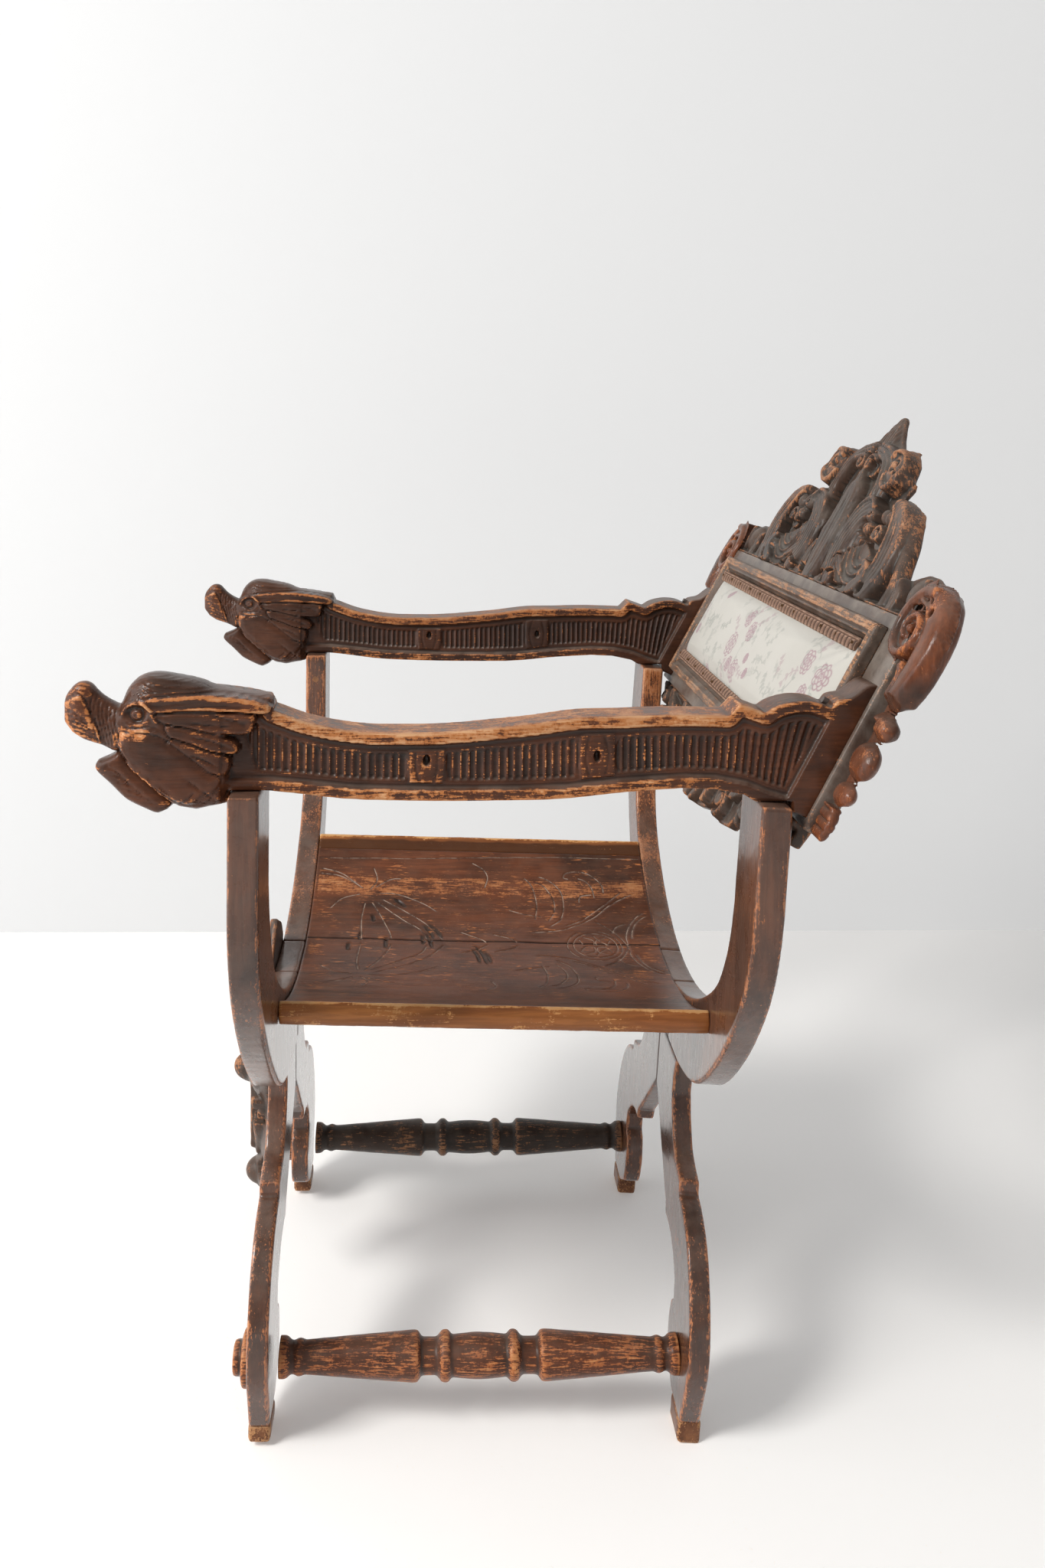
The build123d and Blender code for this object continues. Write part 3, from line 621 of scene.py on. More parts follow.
def woodMaterial(name, run, dark, mid, warm, worn, wornPale, rub=0.0, reach=0.45, breakUp=1.0, dust=0.35,
                 film=0.05, gloss=0.36, worms=0.10, patch=45.0, dustColour=(0.30, 0.26, 0.22), scratches=0.4,
                 deepShade=0.75, dirtReach=0.35, lineColour=None, specular=0.2, coat=0.0, patchWeight=2.0,
                 streakWeight=2.8, scratchRun=(30, 400, 400), scratchFrom=0.72):
    # stained and rubbed carved wood; run stretches the grain along the piece
    material, t, shader = newMaterial(name)
    place = t.place()
    normal = t.add("ShaderNodeNewGeometry").outputs["Normal"]
    edge = t.mark("edge")
    swell = t.mark("swell")
    rubbed = t.mark("rub")
    stain = t.mark("stain")
    clean = t.mark("clean")
    grain = placeGroup(t, groups["grain"], {"Place": place, "Run": run})
    wear = placeGroup(t, groups["wear"], {
        "Place": place, "Run": run, "Edge": edge, "Swell": swell, "Rub": t.plus(rubbed, rub),
        "Reach": reach, "Patch": patch, "Dirt Reach": dirtReach, "Patch Weight": patchWeight,
        "Streak Weight": streakWeight,
        "Break Up": t.times(t.minus(1.0, t.times(clean, 0.5)), breakUp)})
    base = t.mix(grain["Band"], colour(*dark), colour(*mid))
    base = t.mix(t.times(grain["Stain"], 0.55), base, colour(*warm))
    base = t.mix(t.times(grain["Fibre"], 0.35), base, shade(dark, 0.55))
    pale = t.times(wear["Pale"], t.plus(t.times(grain["Fibre"], 0.6), 0.4))
    wornColour = t.mix(pale, colour(*worn), colour(*wornPale))
    wornColour = t.mix(t.times(grain["Band"], 0.35), wornColour, shade(worn, 0.55))
    base = t.mix(t.times(wear["Rubbed"], 0.45), base, colour(*warm))
    base = t.mix(wear["Worn"], base, wornColour)
    # darker in the hollows: dirt and painted shade
    base = t.mix(t.times(wear["Deep"], deepShade), base, shade(dark, 0.3))
    base = t.mix(stain, base, shade(dark, 0.35))
    if lineColour:
        line = t.mark("line")
        broken = t.band(t.noise(place, 90.0, 4.0, 0.65), 0.36, 0.60)
        base = t.mix(t.times(t.band(line, 0.42, 0.95), broken), base, colour(*lineColour))
    worm = placeGroup(t, groups["worm"], {"Place": place, "Share": worms})["Hole"]
    # the holes' near-black is painted shade inside them
    base = t.mix(worm, base, colour(0.008, 0.004, 0.003))
    scratch = placeGroup(t, groups["scratch"], {
        "Place": place, "Share": scratches, "Run": scratchRun, "From": scratchFrom})["Scratch"]
    base = t.mix(scratch, base, colour(*[min(1, c * 1.3) for c in worn]))
    settled = t.times(t.minus(1.0, clean), dust)
    film = placeGroup(t, groups["dust"], {"Place": place, "Normal": normal, "Deep": wear["Deep"],
        "Amount": settled, "Everywhere": film})["Dust"]
    base = t.mix(film, base, colour(*dustColour))
    t.feed(shader, "Base Color", base)
    rough = t.plus(t.times(film, 0.35), gloss)
    rough = t.plus(rough, t.times(wear["Worn"], 0.12), clamp=True)
    t.feed(shader, "Roughness", rough)
    setSockets(shader, {"Specular IOR Level": specular, "Coat Weight": coat, "Coat Roughness": 0.16})
    height = t.plus(t.times(grain["Fibre"], -0.35), t.times(wear["Worn"], -0.5))
    height = t.plus(height, t.times(worm, -3.0))
    bump = t.add("ShaderNodeBump", Height=height, Strength=0.5, Distance=0.0004)
    t.feed(shader, "Normal", bump.outputs[0])
    return material


along = {"x": (0.08, 1, 1), "y": (1, 0.08, 1), "z": (1, 1, 0.08)}
warmDust = (0.30, 0.225, 0.18)
archOak = woodMaterial("archOak", along["z"], (0.032, 0.012, 0.006), (0.085, 0.033, 0.017),
    (0.14, 0.046, 0.019), (0.36, 0.115, 0.034), (0.54, 0.27, 0.13), rub=-0.12, reach=0.5, patch=28.0,
    dust=0.2, film=0.07, dustColour=warmDust, gloss=0.26, coat=0.45)
legOak = woodMaterial("legOak", along["z"], (0.024, 0.009, 0.005), (0.056, 0.021, 0.010),
    (0.13, 0.040, 0.015), (0.38, 0.115, 0.032), (0.58, 0.27, 0.12), rub=-0.10, reach=0.34, patch=34.0,
    dust=0.2, film=0.07, dustColour=warmDust, gloss=0.26, coat=0.5, patchWeight=1.5, streakWeight=3.6)
armWood = woodMaterial("armWood", along["y"], (0.022, 0.0085, 0.0045), (0.050, 0.018, 0.0085),
                       (0.14, 0.040, 0.014), (0.44, 0.150, 0.040), (0.72, 0.42, 0.22), dust=0.26, rub=0.0,
                       film=0.02, gloss=0.26, dustColour=warmDust)
# the far arm's copy: less worn, and darker all over as painted shade
farArmLessWornShaded = woodMaterial("farArmLessWornShaded", along["y"], (0.021, 0.008, 0.0045), (0.043, 0.016, 0.008),
                          (0.10, 0.032, 0.013), (0.36, 0.12, 0.034), (0.56, 0.30, 0.14), dust=0.36, rub=-0.20,
                          film=0.02, gloss=0.28, dustColour=warmDust)
crestOak = woodMaterial("crestOak", along["z"], (0.014, 0.0075, 0.005), (0.038, 0.020, 0.0135),
                        (0.075, 0.031, 0.016), (0.28, 0.10, 0.034), (0.42, 0.22, 0.115), rub=-0.20,
                        dust=0.16, film=0.10, gloss=0.32, dirtReach=0.2, deepShade=0.88)
boardOak = woodMaterial("boardOak", along["x"], (0.030, 0.016, 0.011), (0.056, 0.030, 0.020),
                        (0.085, 0.040, 0.024), (0.30, 0.12, 0.045), (0.46, 0.26, 0.14), rub=-0.30,
                        dust=0.25, film=0.30, gloss=0.34, coat=0.3)
carvedOak = woodMaterial("carvedOak", along["z"], (0.022, 0.012, 0.008), (0.044, 0.022, 0.014),
                         (0.080, 0.034, 0.018), (0.30, 0.105, 0.034), (0.44, 0.23, 0.11), rub=-0.20,
                         dust=0.18, film=0.10, gloss=0.34, dirtReach=0.26)
rubbedOak = woodMaterial("rubbedOak", along["z"], (0.024, 0.009, 0.005), (0.070, 0.023, 0.010),
                         (0.24, 0.064, 0.021), (0.36, 0.110, 0.028), (0.54, 0.24, 0.11), rub=-0.13,
                         dust=0.16, film=0.04, gloss=0.20, breakUp=0.75, reach=0.85)
mouldingWood = woodMaterial("mouldingWood", along["x"], (0.028, 0.015, 0.009), (0.060, 0.030, 0.018),
                            (0.12, 0.050, 0.025), (0.34, 0.145, 0.056), (0.54, 0.32, 0.19), rub=-0.10,
                            dust=0.28, film=0.18)
turnedWood = woodMaterial("turnedWood", along["y"], (0.026, 0.010, 0.005), (0.062, 0.023, 0.011),
    (0.15, 0.042, 0.016), (0.37, 0.110, 0.032), (0.56, 0.26, 0.10), rub=0.17, patch=30.0, dust=0.14,
    dustColour=warmDust, patchWeight=1.2, streakWeight=4.6, gloss=0.30)
# the far stretcher's copy: less worn, and much darker as painted shade
farTurnedLessWornShaded = woodMaterial("farTurnedLessWornShaded", along["y"], (0.011, 0.007, 0.005), (0.021, 0.013, 0.009),
    (0.048, 0.022, 0.012), (0.26, 0.11, 0.045), (0.4, 0.22, 0.11), rub=-0.08, dust=0.12, streakWeight=4.0)
seatWood = woodMaterial("seatWood", along["y"], (0.017, 0.006, 0.0032), (0.102, 0.031, 0.0125),
    (0.21, 0.057, 0.019), (0.40, 0.135, 0.042), (0.54, 0.27, 0.12), rub=-0.12, reach=1.1, dust=0.10,
    film=0.0, gloss=0.28, breakUp=0.95, dustColour=(0.36, 0.23, 0.165), lineColour=(0.42, 0.31, 0.24),
    patchWeight=1.6, streakWeight=3.8, scratches=0.75, scratchRun=(430, 70, 430), scratchFrom=0.605)
railWood = woodMaterial("railWood", along["y"], (0.17, 0.055, 0.016), (0.42, 0.160, 0.045),
    (0.30, 0.095, 0.026), (0.58, 0.27, 0.090), (0.74, 0.45, 0.21), rub=-0.02, reach=0.9, dust=0.03,
    film=0.0, deepShade=0.5, gloss=0.26, worms=0.4, patch=26.0, patchWeight=3.0, streakWeight=2.0)
footWood = woodMaterial("footWood", along["x"], (0.10, 0.036, 0.014), (0.24, 0.095, 0.036),
    (0.16, 0.05, 0.02), (0.42, 0.20, 0.08), (0.5, 0.28, 0.13), rub=0.1, reach=0.6, dust=0.3,
    dustColour=warmDust)
print("materials ready")


# ---- sawn boards: arches, blocks, legs and feet ----

boards = {
    "cell": 1.9,
    "edgeRound": 2.2,       # rounding of the sawn edges
    "edgeWander": 0.45,     # how unevenly the edges are worn
}


def outlineOf(node, origin, up, out):
    # corners of a board's front face, read from the frame, as closed loops of (x, height)
    mesh = frame["nodes"][node].data
    mesh.calc_loop_triangles()
    co = meshPoints(mesh)
    tri = np.zeros(len(mesh.loop_triangles) * 3, np.int32)
    mesh.loop_triangles.foreach_get("vertices", tri)
    tri = tri.reshape(-1, 3)
    normal = np.cross(co[tri[:, 1]] - co[tri[:, 0]], co[tri[:, 2]] - co[tri[:, 0]])
    normal /= np.maximum(np.linalg.norm(normal, axis=1, keepdims=True), 1e-12)
    depth = (co - origin) @ out
    front = (normal @ out > 0.999) & (depth[tri].max(1) > depth.max() - 0.05)
    place = np.round(np.stack([co[:, 0], (co - origin) @ up], 1), 2)
    edges = {}
    for face in tri[front]:
        keys = [tuple(place[k]) for k in face]
        for a, b in zip(keys, keys[1:] + keys[:1]):
            if (b, a) in edges:
                del edges[(b, a)]
            else:
                edges[(a, b)] = True
    following = {}
    for a, b in edges:
        following[a] = b
    loops = []
    while following:
        first, point = next(iter(following.items()))
        loop = [first]
        following.pop(first)
        while point != first and point in following:
            loop.append(point)
            point = following.pop(point)
        loops.append(np.array(loop))
    if not loops:      # a small block with rounded faces
        low, high = place.min(0), place.max(0)
        corners = np.array([low, (high[0], low[1]), high, (low[0], high[1])])
        return corners, depth.min(), depth.max()
    size = [abs(np.sum(p[:, 0] * np.roll(p[:, 1], -1) - p[:, 1] * np.roll(p[:, 0], -1))) for p in loops]
    return loops[int(np.argmax(size))], depth.min(), depth.max()


def sawnBoard(name, material, slot, origin, up, out, edgeRound=None, bare=0.0, worn=0.0):
    # a board with softened, unevenly worn edges in place of a plain one; worn thins it from behind
    outline, back, frontFace = outlineOf(name, origin, up, out)
    back += worn
    cell = boards["cell"]
    low = outline.min(0) - 3 * cell
    high = outline.max(0) + 3 * cell
    field = newField(low[0], high[0], low[1], high[1], cell)
    depth = np.arange(back - 3 * cell, frontFace + 4 * cell, cell)
    inside = insideDistance(outline, field.gu, field.gv)
    rounding = edgeRound or boards["edgeRound"]
    middle = (back + frontFace) / 2
    half = (frontFace - back) / 2
    flat = np.stack([field.gu, field.gv, np.zeros_like(field.gu)], -1)
    wander = lumps(flat, 22.0, 5) * boards["edgeWander"] + lumps(flat, 7.0, 6) * boards["edgeWander"] * 0.6
    r = np.maximum(0.8, rounding + wander)[:, :, None]
    a = inside[:, :, None] + r
    b = np.abs(depth - middle)[None, None, :] - half + r
    f = rounded(a, b, r)
    grid, faces = surfaceNet(f, (field.u[0], field.v[0], depth[0]), cell)
    grid = relax(grid, faces, 1, 0.4)
    verts = origin + grid[:, :1] * np.array([1.0, 0, 0]) + grid[:, 1:2] * up + grid[:, 2:3] * out
    if np.dot(np.cross(np.array([1.0, 0, 0]), up), out) < 0:
        faces = faces[:, ::-1]
    # bare wood along the sawn edge that faces the seat
    normals = normalsOf(verts, faces)
    hollow = smoothStep(normals @ np.array([-np.sign(verts[:, 0].mean()), 0, 0.35]), 0.45, 0.8)
    rub = bare * hollow * smoothStep(verts[:, 2], 372, 400) * (0.8 + 0.6 * lumps(verts, 40, 44))
    # the glued seams in the middle stay dark
    rub -= 0.9 * smoothStep(54 - np.abs(verts[:, 0]), 0, 6) * smoothStep(verts[:, 2], 215, 225)
    return addPiece(name + "_wood", verts, faces, material, (name,), {"rub": rub}, fineRounds=3)


leanSlope = 0.0682          # how far the back frame leans, as a tangent
lean = math.atan(leanSlope)
frontPlane = (np.array([0, frontRear - 26.0, 0.0]), np.array([0, 0, 1.0]), np.array([0, -1.0, 0]))
leanUp = np.array([0, math.sin(lean), math.cos(lean)])
leanOut = np.array([0, -math.cos(lean), math.sin(lean)])
backPlane = (np.array([0, 172.5 - 70 + yShift, 0.0]), leanUp, leanOut)

archBare = {("front", "left"): 0.1, ("back", "left"): 0.1, ("front", "right"): 0.32, ("back", "right"): 0.62}
for side in ("left", "right"):
    for end, plane in (("front", frontPlane), ("back", backPlane)):
        sawnBoard(f"{end}_arch_{side}", archOak, "dark_oak", *plane, bare=archBare[end, side])
        sawnBoard(f"{end}_leg_{side}", legOak, "dark_oak", *plane)
        sawnBoard(f"{end}_foot_{side}", footWood, "foot_wood", *plane, edgeRound=3.0)
for end, plane in (("front", frontPlane), ("back", backPlane)):
    sawnBoard(f"{end}_centre_block", archOak, "dark_oak", *plane)


# ---- arms that end in beasts' heads ----

arm = {
    "cell": 1.4,
    "half": 18.0,             # half the arm's thickness
    "band": 9.5,              # flat border along the top
    "lowerBand": 9.0,
    "cove": 4.6,              # how deep the fluted field lies
    "flute": 6.45,            # spacing of the flutes
    "studs": (-135.0, 8.4),   # middles of the plain squares
    "studHalf": 15.0,
    "fieldStart": -286.0,     # where the fluted field begins, behind the head
    "headEnd": -262.0,        # where the head meets the arm
    "rounding": 1.7,
}
headTop = [
    (-437, 711), (-436.5, 722), (-429, 732), (-422, 735), (-415, 733), (-406, 724), (-393, 716), (-389, 718),
    (-383, 731), (-373, 740), (-358, 742), (-341, 739), (-326, 736), (-311, 730), (-291, 726), (-272, 724.5),
    (-265, 723.5), (-263, 719), (-262, 713)]
armTopFront = [
    (-262, 713), (-230, 702), (-189, 695), (-145, 694), (-111, 695), (-77, 698), (-46, 701), (-7, 706),
    (31, 707), (70, 708), (100, 707.5), (119, 707)]
armTopRear = [(119, 707), (129, 717), (151, 709), (161, 715), (178, 719), (194, 718), (207, 713)]
armTopEnd = [(207, 713), (212, 719), (225, 722), (239, 732), (248, 732)]
armBottomRear = [(187, 619.5), (173.6, 625.5), (173.6, 634.4), (142, 634.4), (133, 640), (108, 645),
    (80, 646)]
armBottom = [
    (80, 646), (32, 643), (-19, 638), (-59, 637), (-128, 637), (-196, 639), (-241, 644), (-267, 646.4),
    (-297.6, 646.4)]
headBottom = [(-297.6, 639), (-301, 635), (-314, 633), (-325, 630.5), (-339, 633), (-344, 635),
    (-350, 630), (-357, 627), (-369, 631), (-384, 638), (-397, 650), (-409, 660), (-411.5, 665),
    (-409, 669.5), (-398, 674), (-389, 678.5), (-395, 677.5), (-407, 683), (-420, 687), (-430, 693),
    (-437, 702)]


def armOutline():
    rear = [armTopRear[0], armTopRear[1], armTopRear[2]] + smoothPath(armTopRear[2:], 3).tolist()[1:]
    parts = [
        smoothPath(headTop, 2.5), smoothPath(armTopFront, 5)[1:], rear[1:], smoothPath(armTopEnd, 3)[1:],
        armBottomRear, smoothPath(armBottom, 6)[1:], headBottom]
    return np.vstack([np.array(p, float) for p in parts])


lobes = [
    [(-372, 722), (-363, 726), (-340, 728), (-315, 728), (-286, 725), (-267, 720), (-263, 715), (-268, 711),
     (-286, 712), (-315, 714), (-340, 714), (-358, 712)],
    [(-358, 712), (-330, 713), (-300, 713), (-278, 711), (-277, 704), (-279, 697), (-286, 694), (-301, 695),
     (-315, 697), (-332, 701), (-350, 704)],
    [(-350, 703), (-332, 700), (-315, 696), (-300, 692), (-292, 688), (-290, 683), (-292, 679), (-298, 678),
     (-315, 682), (-329, 688), (-344, 692)],
    [(-344, 692), (-329, 687), (-315, 682), (-300, 678), (-297, 674), (-297, 668), (-300, 661), (-304, 661),
     (-315, 664), (-327, 669), (-340, 676), (-350, 684)],
]
cheek = [
    (-390, 687), (-388, 696), (-378, 696.5), (-364, 696), (-352, 693), (-335, 681), (-315, 666), (-304, 659),
    (-307, 651), (-316, 644), (-327, 637), (-341, 640), (-352, 648), (-365, 658), (-378, 669), (-388, 679)]


def friezeHeight(field, topLine, bottomLine):
    # border bands, coves, plain squares and the row of flutes
    gu, gv = field.gu, field.gv
    fromTop = pathDistance(topLine, gu, gv)[0]
    fromBottom = pathDistance(bottomLine, gu, gv)[0]
    boardLine = (gu - 187.0) * math.cos(rake) - (gv - 619.5) * math.sin(rake)
    fromEnd = -boardLine
    deep = arm["cove"]
    coveTop = dome((fromTop - arm["band"]) / 5.0)
    coveBottom = dome((fromBottom - arm["lowerBand"]) / 4.5)
    endStep = smoothStep(fromEnd, 22.5, 25.0)
    startStep = smoothStep(gu + 0.37 * (gv - 690), arm["fieldStart"] - 3.5, arm["fieldStart"] - 1.0)
    inField = np.minimum(coveTop, coveBottom) * endStep
    height = arm["half"] - deep * inField
    lineTop = np.exp(-((fromTop - 16.2) / 0.8) ** 2)
    lineBottom = np.exp(-((fromBottom - 14.8) / 0.8) ** 2)
    height += 1.1 * (lineTop + lineBottom) * endStep * startStep * inField
    room = np.minimum(np.minimum(fromTop - 17.5, fromBottom - 16.0), fromEnd - 28.0)
    room = np.minimum(room, (gu + 0.37 * (gv - 690) - arm["fieldStart"]) * 0.93)
    for stud in arm["studs"]:
        room = np.minimum(room, np.abs(gu - stud) - arm["studHalf"] - 1.5
                          + 2.2 * (1 - ((gv - np.interp(gu, [-300, 0, 200], [667, 673, 668])) / 12) ** 2))
    tilt = np.interp(gu, [-260, 60, 150, 215], [0.0, 0.0, 0.12, 0.42])
    across = (gu - tilt * (gv - 670)) / arm["flute"]
    phase = np.abs(across - np.round(across)) * 2          # 0 on a scoop's middle, 1 on a ridge
    scoop = np.sqrt(np.maximum(0, 1 - np.minimum(phase / 0.8, 1) ** 2))
    inside = smoothStep(room, 0.0, 1.8)
    height -= inside * (2.2 * scoop - 0.3)
    for stud in arm["studs"]:
        mid = np.interp(stud, [-300, 0, 200], [667, 673, 668])
        square = smoothStep(arm["studHalf"] + 1.0 - np.abs(gu - stud) - 0.004 * (gv - mid) ** 2, 0, 1.6)
        square = square * smoothStep(np.minimum(fromTop - 15.2, fromBottom - 14.0), 0, 1.5)
        height += square * 1.6
        hole = ((gu - stud) / 2.6) ** 2 + ((gv - mid) / 4.4) ** 2
        height -= 6.0 * smoothStep(1.5 - hole, 0, 1.0)
        for way in (-1, 1):
            bow = (gu - stud) * way - 9.5 + 0.012 * (gv - mid) ** 2
            height -= 1.1 * np.exp(-(bow / 0.9) ** 2) * square
    rub = 0.72 * (1 - smoothStep(fromTop, 8.5, 11.0)) * smoothStep(fromEnd, 6, 24)
    rub += 0.38 * (1 - smoothStep(fromBottom, 8.0, 10.0)) * smoothStep(-gu, -110, -60)
    for stud, bare in zip(arm["studs"], (0.42, 0.20)):
        rub += bare * smoothStep(arm["studHalf"] - np.abs(gu - stud), 0, 1) * smoothStep(
            np.minimum(fromTop - 16, fromBottom - 14), 0, 1)
    rub -= 0.25 * inField * smoothStep(phase, 0.9, 0.6)
    rub += 0.12 * inside * smoothStep(phase, 0.86, 1.0)
    return height, rub


def headHeight(field, height, outside):
    # the beast: skull, swept-back locks, brow, eye, wrinkled snout, jaw
    gu, gv = field.gu, field.gv
    spread = np.interp(gu, [-437, -425, -412, -400, -390, -380, -365, -345, -320, -300, -275, -262],
                       [9, 12.5, 14, 15.5, 19, 23, 26.5, 28.5, 29, 28, 26.5, 24])
    skullRound = 0.45 + 0.55 * dome(-outside / 17.0)
    skull = spread * skullRound
    front = smoothStep(-gu, 296, 304)
    work = overlay(field, np.where(gu < -300, skull - 2.5, height))
    work.h = np.where((gu >= -304) & (gu < arm["headEnd"]), height * (1 - front) + (skull - 4.0) * front,
        work.h)
    # crown of combed hair above the first lock
    crown = np.array([(-391, 711), (-388, 720), (-382, 731), (-373, 741.5), (-358, 744), (-340, 741),
        (-311, 732), (-291, 728), (-270, 726), (-262, 724), (-262, 716), (-267, 720), (-286, 725),
        (-315, 728), (-340, 728), (-363, 726), (-374, 721), (-384, 714)], float)
    dist = insideDistance(crown, gu, gv)
    crownHeight = spread * (0.30 + 0.70 * dome(-outside / 20.0)) - 1.0
    work.h = np.where(dist < 0, crownHeight, work.h)
    strandBase = np.array([(-386, 713), (-376, 722), (-363, 728), (-340, 730), (-315, 730), (-286, 727),
                           (-262, 722)], float)
    for i in range(7):
        lift = 1.5 + 2.5 * i
        line = smoothPath(strandBase + np.array([-0.3, 0.8]) * lift, 3)
        groove(work, line, 2.1, 1.9, 0.08)
    # locks
    for index, lobe in enumerate(lobes):
        path = smoothPath(lobe, 2.0, True)
        win = windowOf(work, path, 2)
        d = insideDistance(path, gu[win], gv[win])
        top = spread[win] * (0.97 - 0.03 * index) - 0.5
        rise = 4.6 * dome(-d / 4.5) - 1.6 * smoothStep(-d, 3.0, 9.0)
        value = top - 4.6 + rise
        part = work.h[win]
        work.h[win] = np.where(d < 0, np.maximum(part * (gu[win] < -300), value), part)
        groove(work, np.vstack([path, path[:1]]), 2.0, 2.0, 0.0)
    for line, width in (
            ([(-352, 716), (-330, 718), (-300, 718), (-280, 716)], 2.2),
            ([(-318, 713.5), (-300, 708), (-284, 704)], 2.4),
            ([(-335, 706), (-312, 703), (-292, 701)], 1.8),
            ([(-330, 694), (-312, 690), (-299, 685)], 2.0),
            ([(-332, 680), (-318, 675), (-306, 669)], 1.8)):
        cut(work, line, width, 1.8, 0.3)
    # cheek with its thin raised front edge
    path = smoothPath(cheek, 2.0, True)
    d = insideDistance(path, gu, gv)
    value = spread * 0.93 - 5.0 + 5.0 * dome(-d / 7.0)
    work.h = np.where(d < 0, np.maximum(work.h, value), work.h)
    groove(work, np.vstack([path, path[:1]]), 2.0, 1.6, 0.0)
    ridge(work, smoothPath([(-389, 688), (-379, 671), (-366, 659), (-352, 649), (-341, 641)], 2), 2.6,
        1.1, 0.05)
    for shift in (0, 8, 16, 24):
        line = [(-338 + shift * 0.8, 664 - shift * 0.62), (-326 + shift * 0.75, 655 - shift * 0.6),
                (-316 + shift * 0.5, 650 - shift * 0.4)]
        cut(work, line, 1.5, 0.8, 0.3)
    # folds under the cheek
    for shift in range(4):
        line = [(-346 + 11 * shift, 634 + 0.5 * shift), (-335 + 11 * shift, 640 + shift),
            (-322 + 8 * shift, 650)]
        cut(work, line, 2.2, 1.7, 0.25)
    # brow, eye and the folds round it
    brow = smoothPath([(-388, 706), (-384, 716), (-376, 720.5), (-367, 719.5), (-360, 712), (-355, 703)], 1.5)
    ridge(work, brow, 4.4, 2.6, 0.12)
    eye = (-373.5, 711.0)
    hollow = ((gu - eye[0]) / 9.5) ** 2 + ((gv - eye[1]) / 8.0) ** 2
    work.h -= 3.6 * smoothStep(1.25 - hollow, 0, 0.9)
    ball = 1 - ((gu - eye[0]) / 5.2) ** 2 - ((gv - eye[1]) / 4.5) ** 2
    work.h += 3.2 * np.sqrt(np.maximum(0, ball))
    pupil = ((gu - eye[0] + 0.6) / 1.5) ** 2 + ((gv - eye[1]) / 1.5) ** 2
    work.h -= 1.6 * smoothStep(1.5 - pupil, 0, 1.0)
    ring = arcPath(eye[0], eye[1], 7.4, -200, 20, 30)
    ridge(work, ring, 1.9, 0.8, 0.05)
    ring = arcPath(eye[0] + 1, eye[1] - 0.5, 7.6, -165, -15, 20)
    ridge(work, ring, 2.0, 0.7, 0.1)
    ridge(work, smoothPath([(-389, 699), (-383, 694), (-375, 697), (-364, 698), (-352, 696)], 2), 3.0,
        1.3, 0.15)
    cut(work, [(-386, 702), (-378, 700), (-366, 701.5), (-354, 701)], 2.2, 1.4, 0.15)
    # snout: rings of wrinkles, then the tuft at its tip
    for i in range(7):
        at = -391.5 - 3.2 * i
        bend = 0.9 * i
        line = [(at + 1.5 - bend * 0.2, 724 + 1.2 * i), (at - 1.0 - bend * 0.3, 708 + i), (at + 2.5, 691),
                (at + 4.0, 679 + 0.8 * i)]
        cut(work, line, 2.0, 1.5, 0.06)
    tuft = smoothPath([(-431, 722), (-421, 724.5), (-414, 713), (-408.5, 701), (-403, 686), (-412, 683),
                       (-424, 687), (-434, 695), (-439, 705), (-438, 716)], 2, True)
    d = insideDistance(tuft, gu, gv)
    work.h = np.where(d < 0, work.h + 1.6 * dome(-d / 3.0), work.h)
    cut(work, [(-433, 722), (-421, 725), (-414, 713), (-408.5, 701), (-403, 686)], 1.8, 1.3, 0.05)
    for i in range(5):
        start = (-435.5 + 0.8 * i, 713 - 4.2 * i)
        end = (-415.5 + 2.8 * i, 704 - 4.2 * i)
        mid = ((start[0] + end[0]) / 2, (start[1] + end[1]) / 2 + 1.4)
        cut(work, [start, mid, end], 1.9, 1.5, 0.15)
    ball = smoothPath([(-434, 722), (-430, 732), (-421, 735), (-413, 731), (-411, 724), (-420, 722)], 2, True)
    d = insideDistance(ball, gu, gv)
    work.h = np.where(d < 0, work.h + 1.2 * dome(-d / 4.0), work.h)
    cut(work, [(-432, 724), (-426, 727), (-424, 732)], 1.6, 1.0, 0.1)
    # jaw with its strands, behind the mouth's corner
    jaw = smoothPath([(-411, 665), (-398, 674), (-389, 679), (-380, 668), (-364, 655), (-352, 645),
        (-345, 636), (-357, 627), (-369, 631), (-384, 638), (-397, 650), (-409, 660)], 2, True)
    d = insideDistance(jaw, gu, gv)
    jawHeight = np.interp(gu, [-411, -395, -370, -345], [9, 13, 17, 20]) * (0.55 + 0.45 * dome(-d / 10))
    work.h = np.where(d < 0, jawHeight, work.h)
    for i in range(5):
        line = [(-402 + 4 * i, 666 - 5.2 * i), (-392 + 5 * i, 663 - 5.6 * i), (-380 + 6.2 * i, 652 - 4.2 * i)]
        cut(work, line, 1.7, 1.1, 0.12)
    rub = np.zeros_like(gu)
    edge = insideDistance(smoothPath(lobes[0], 2, True), gu, gv)
    rub += 0.10 * smoothStep(-edge, -0.5, 2.0) + 0.42 * smoothStep(-edge, -0.5, 1) * smoothStep(edge,
        -4.5, -3)
    edge = insideDistance(tuft, gu, gv)
    rub += 0.5 * smoothStep(-edge, -0.5, 2.0)
    front = pathDistance(smoothPath([(-390, 686), (-386, 694), (-370, 696)], 2), gu, gv)[0]
    rub += 0.8 * smoothStep(9 - front, 0, 8)
    rub += 0.35 * smoothStep(-gu, 411, 420) * smoothStep(gv, 718, 724)
    return work.h, rub


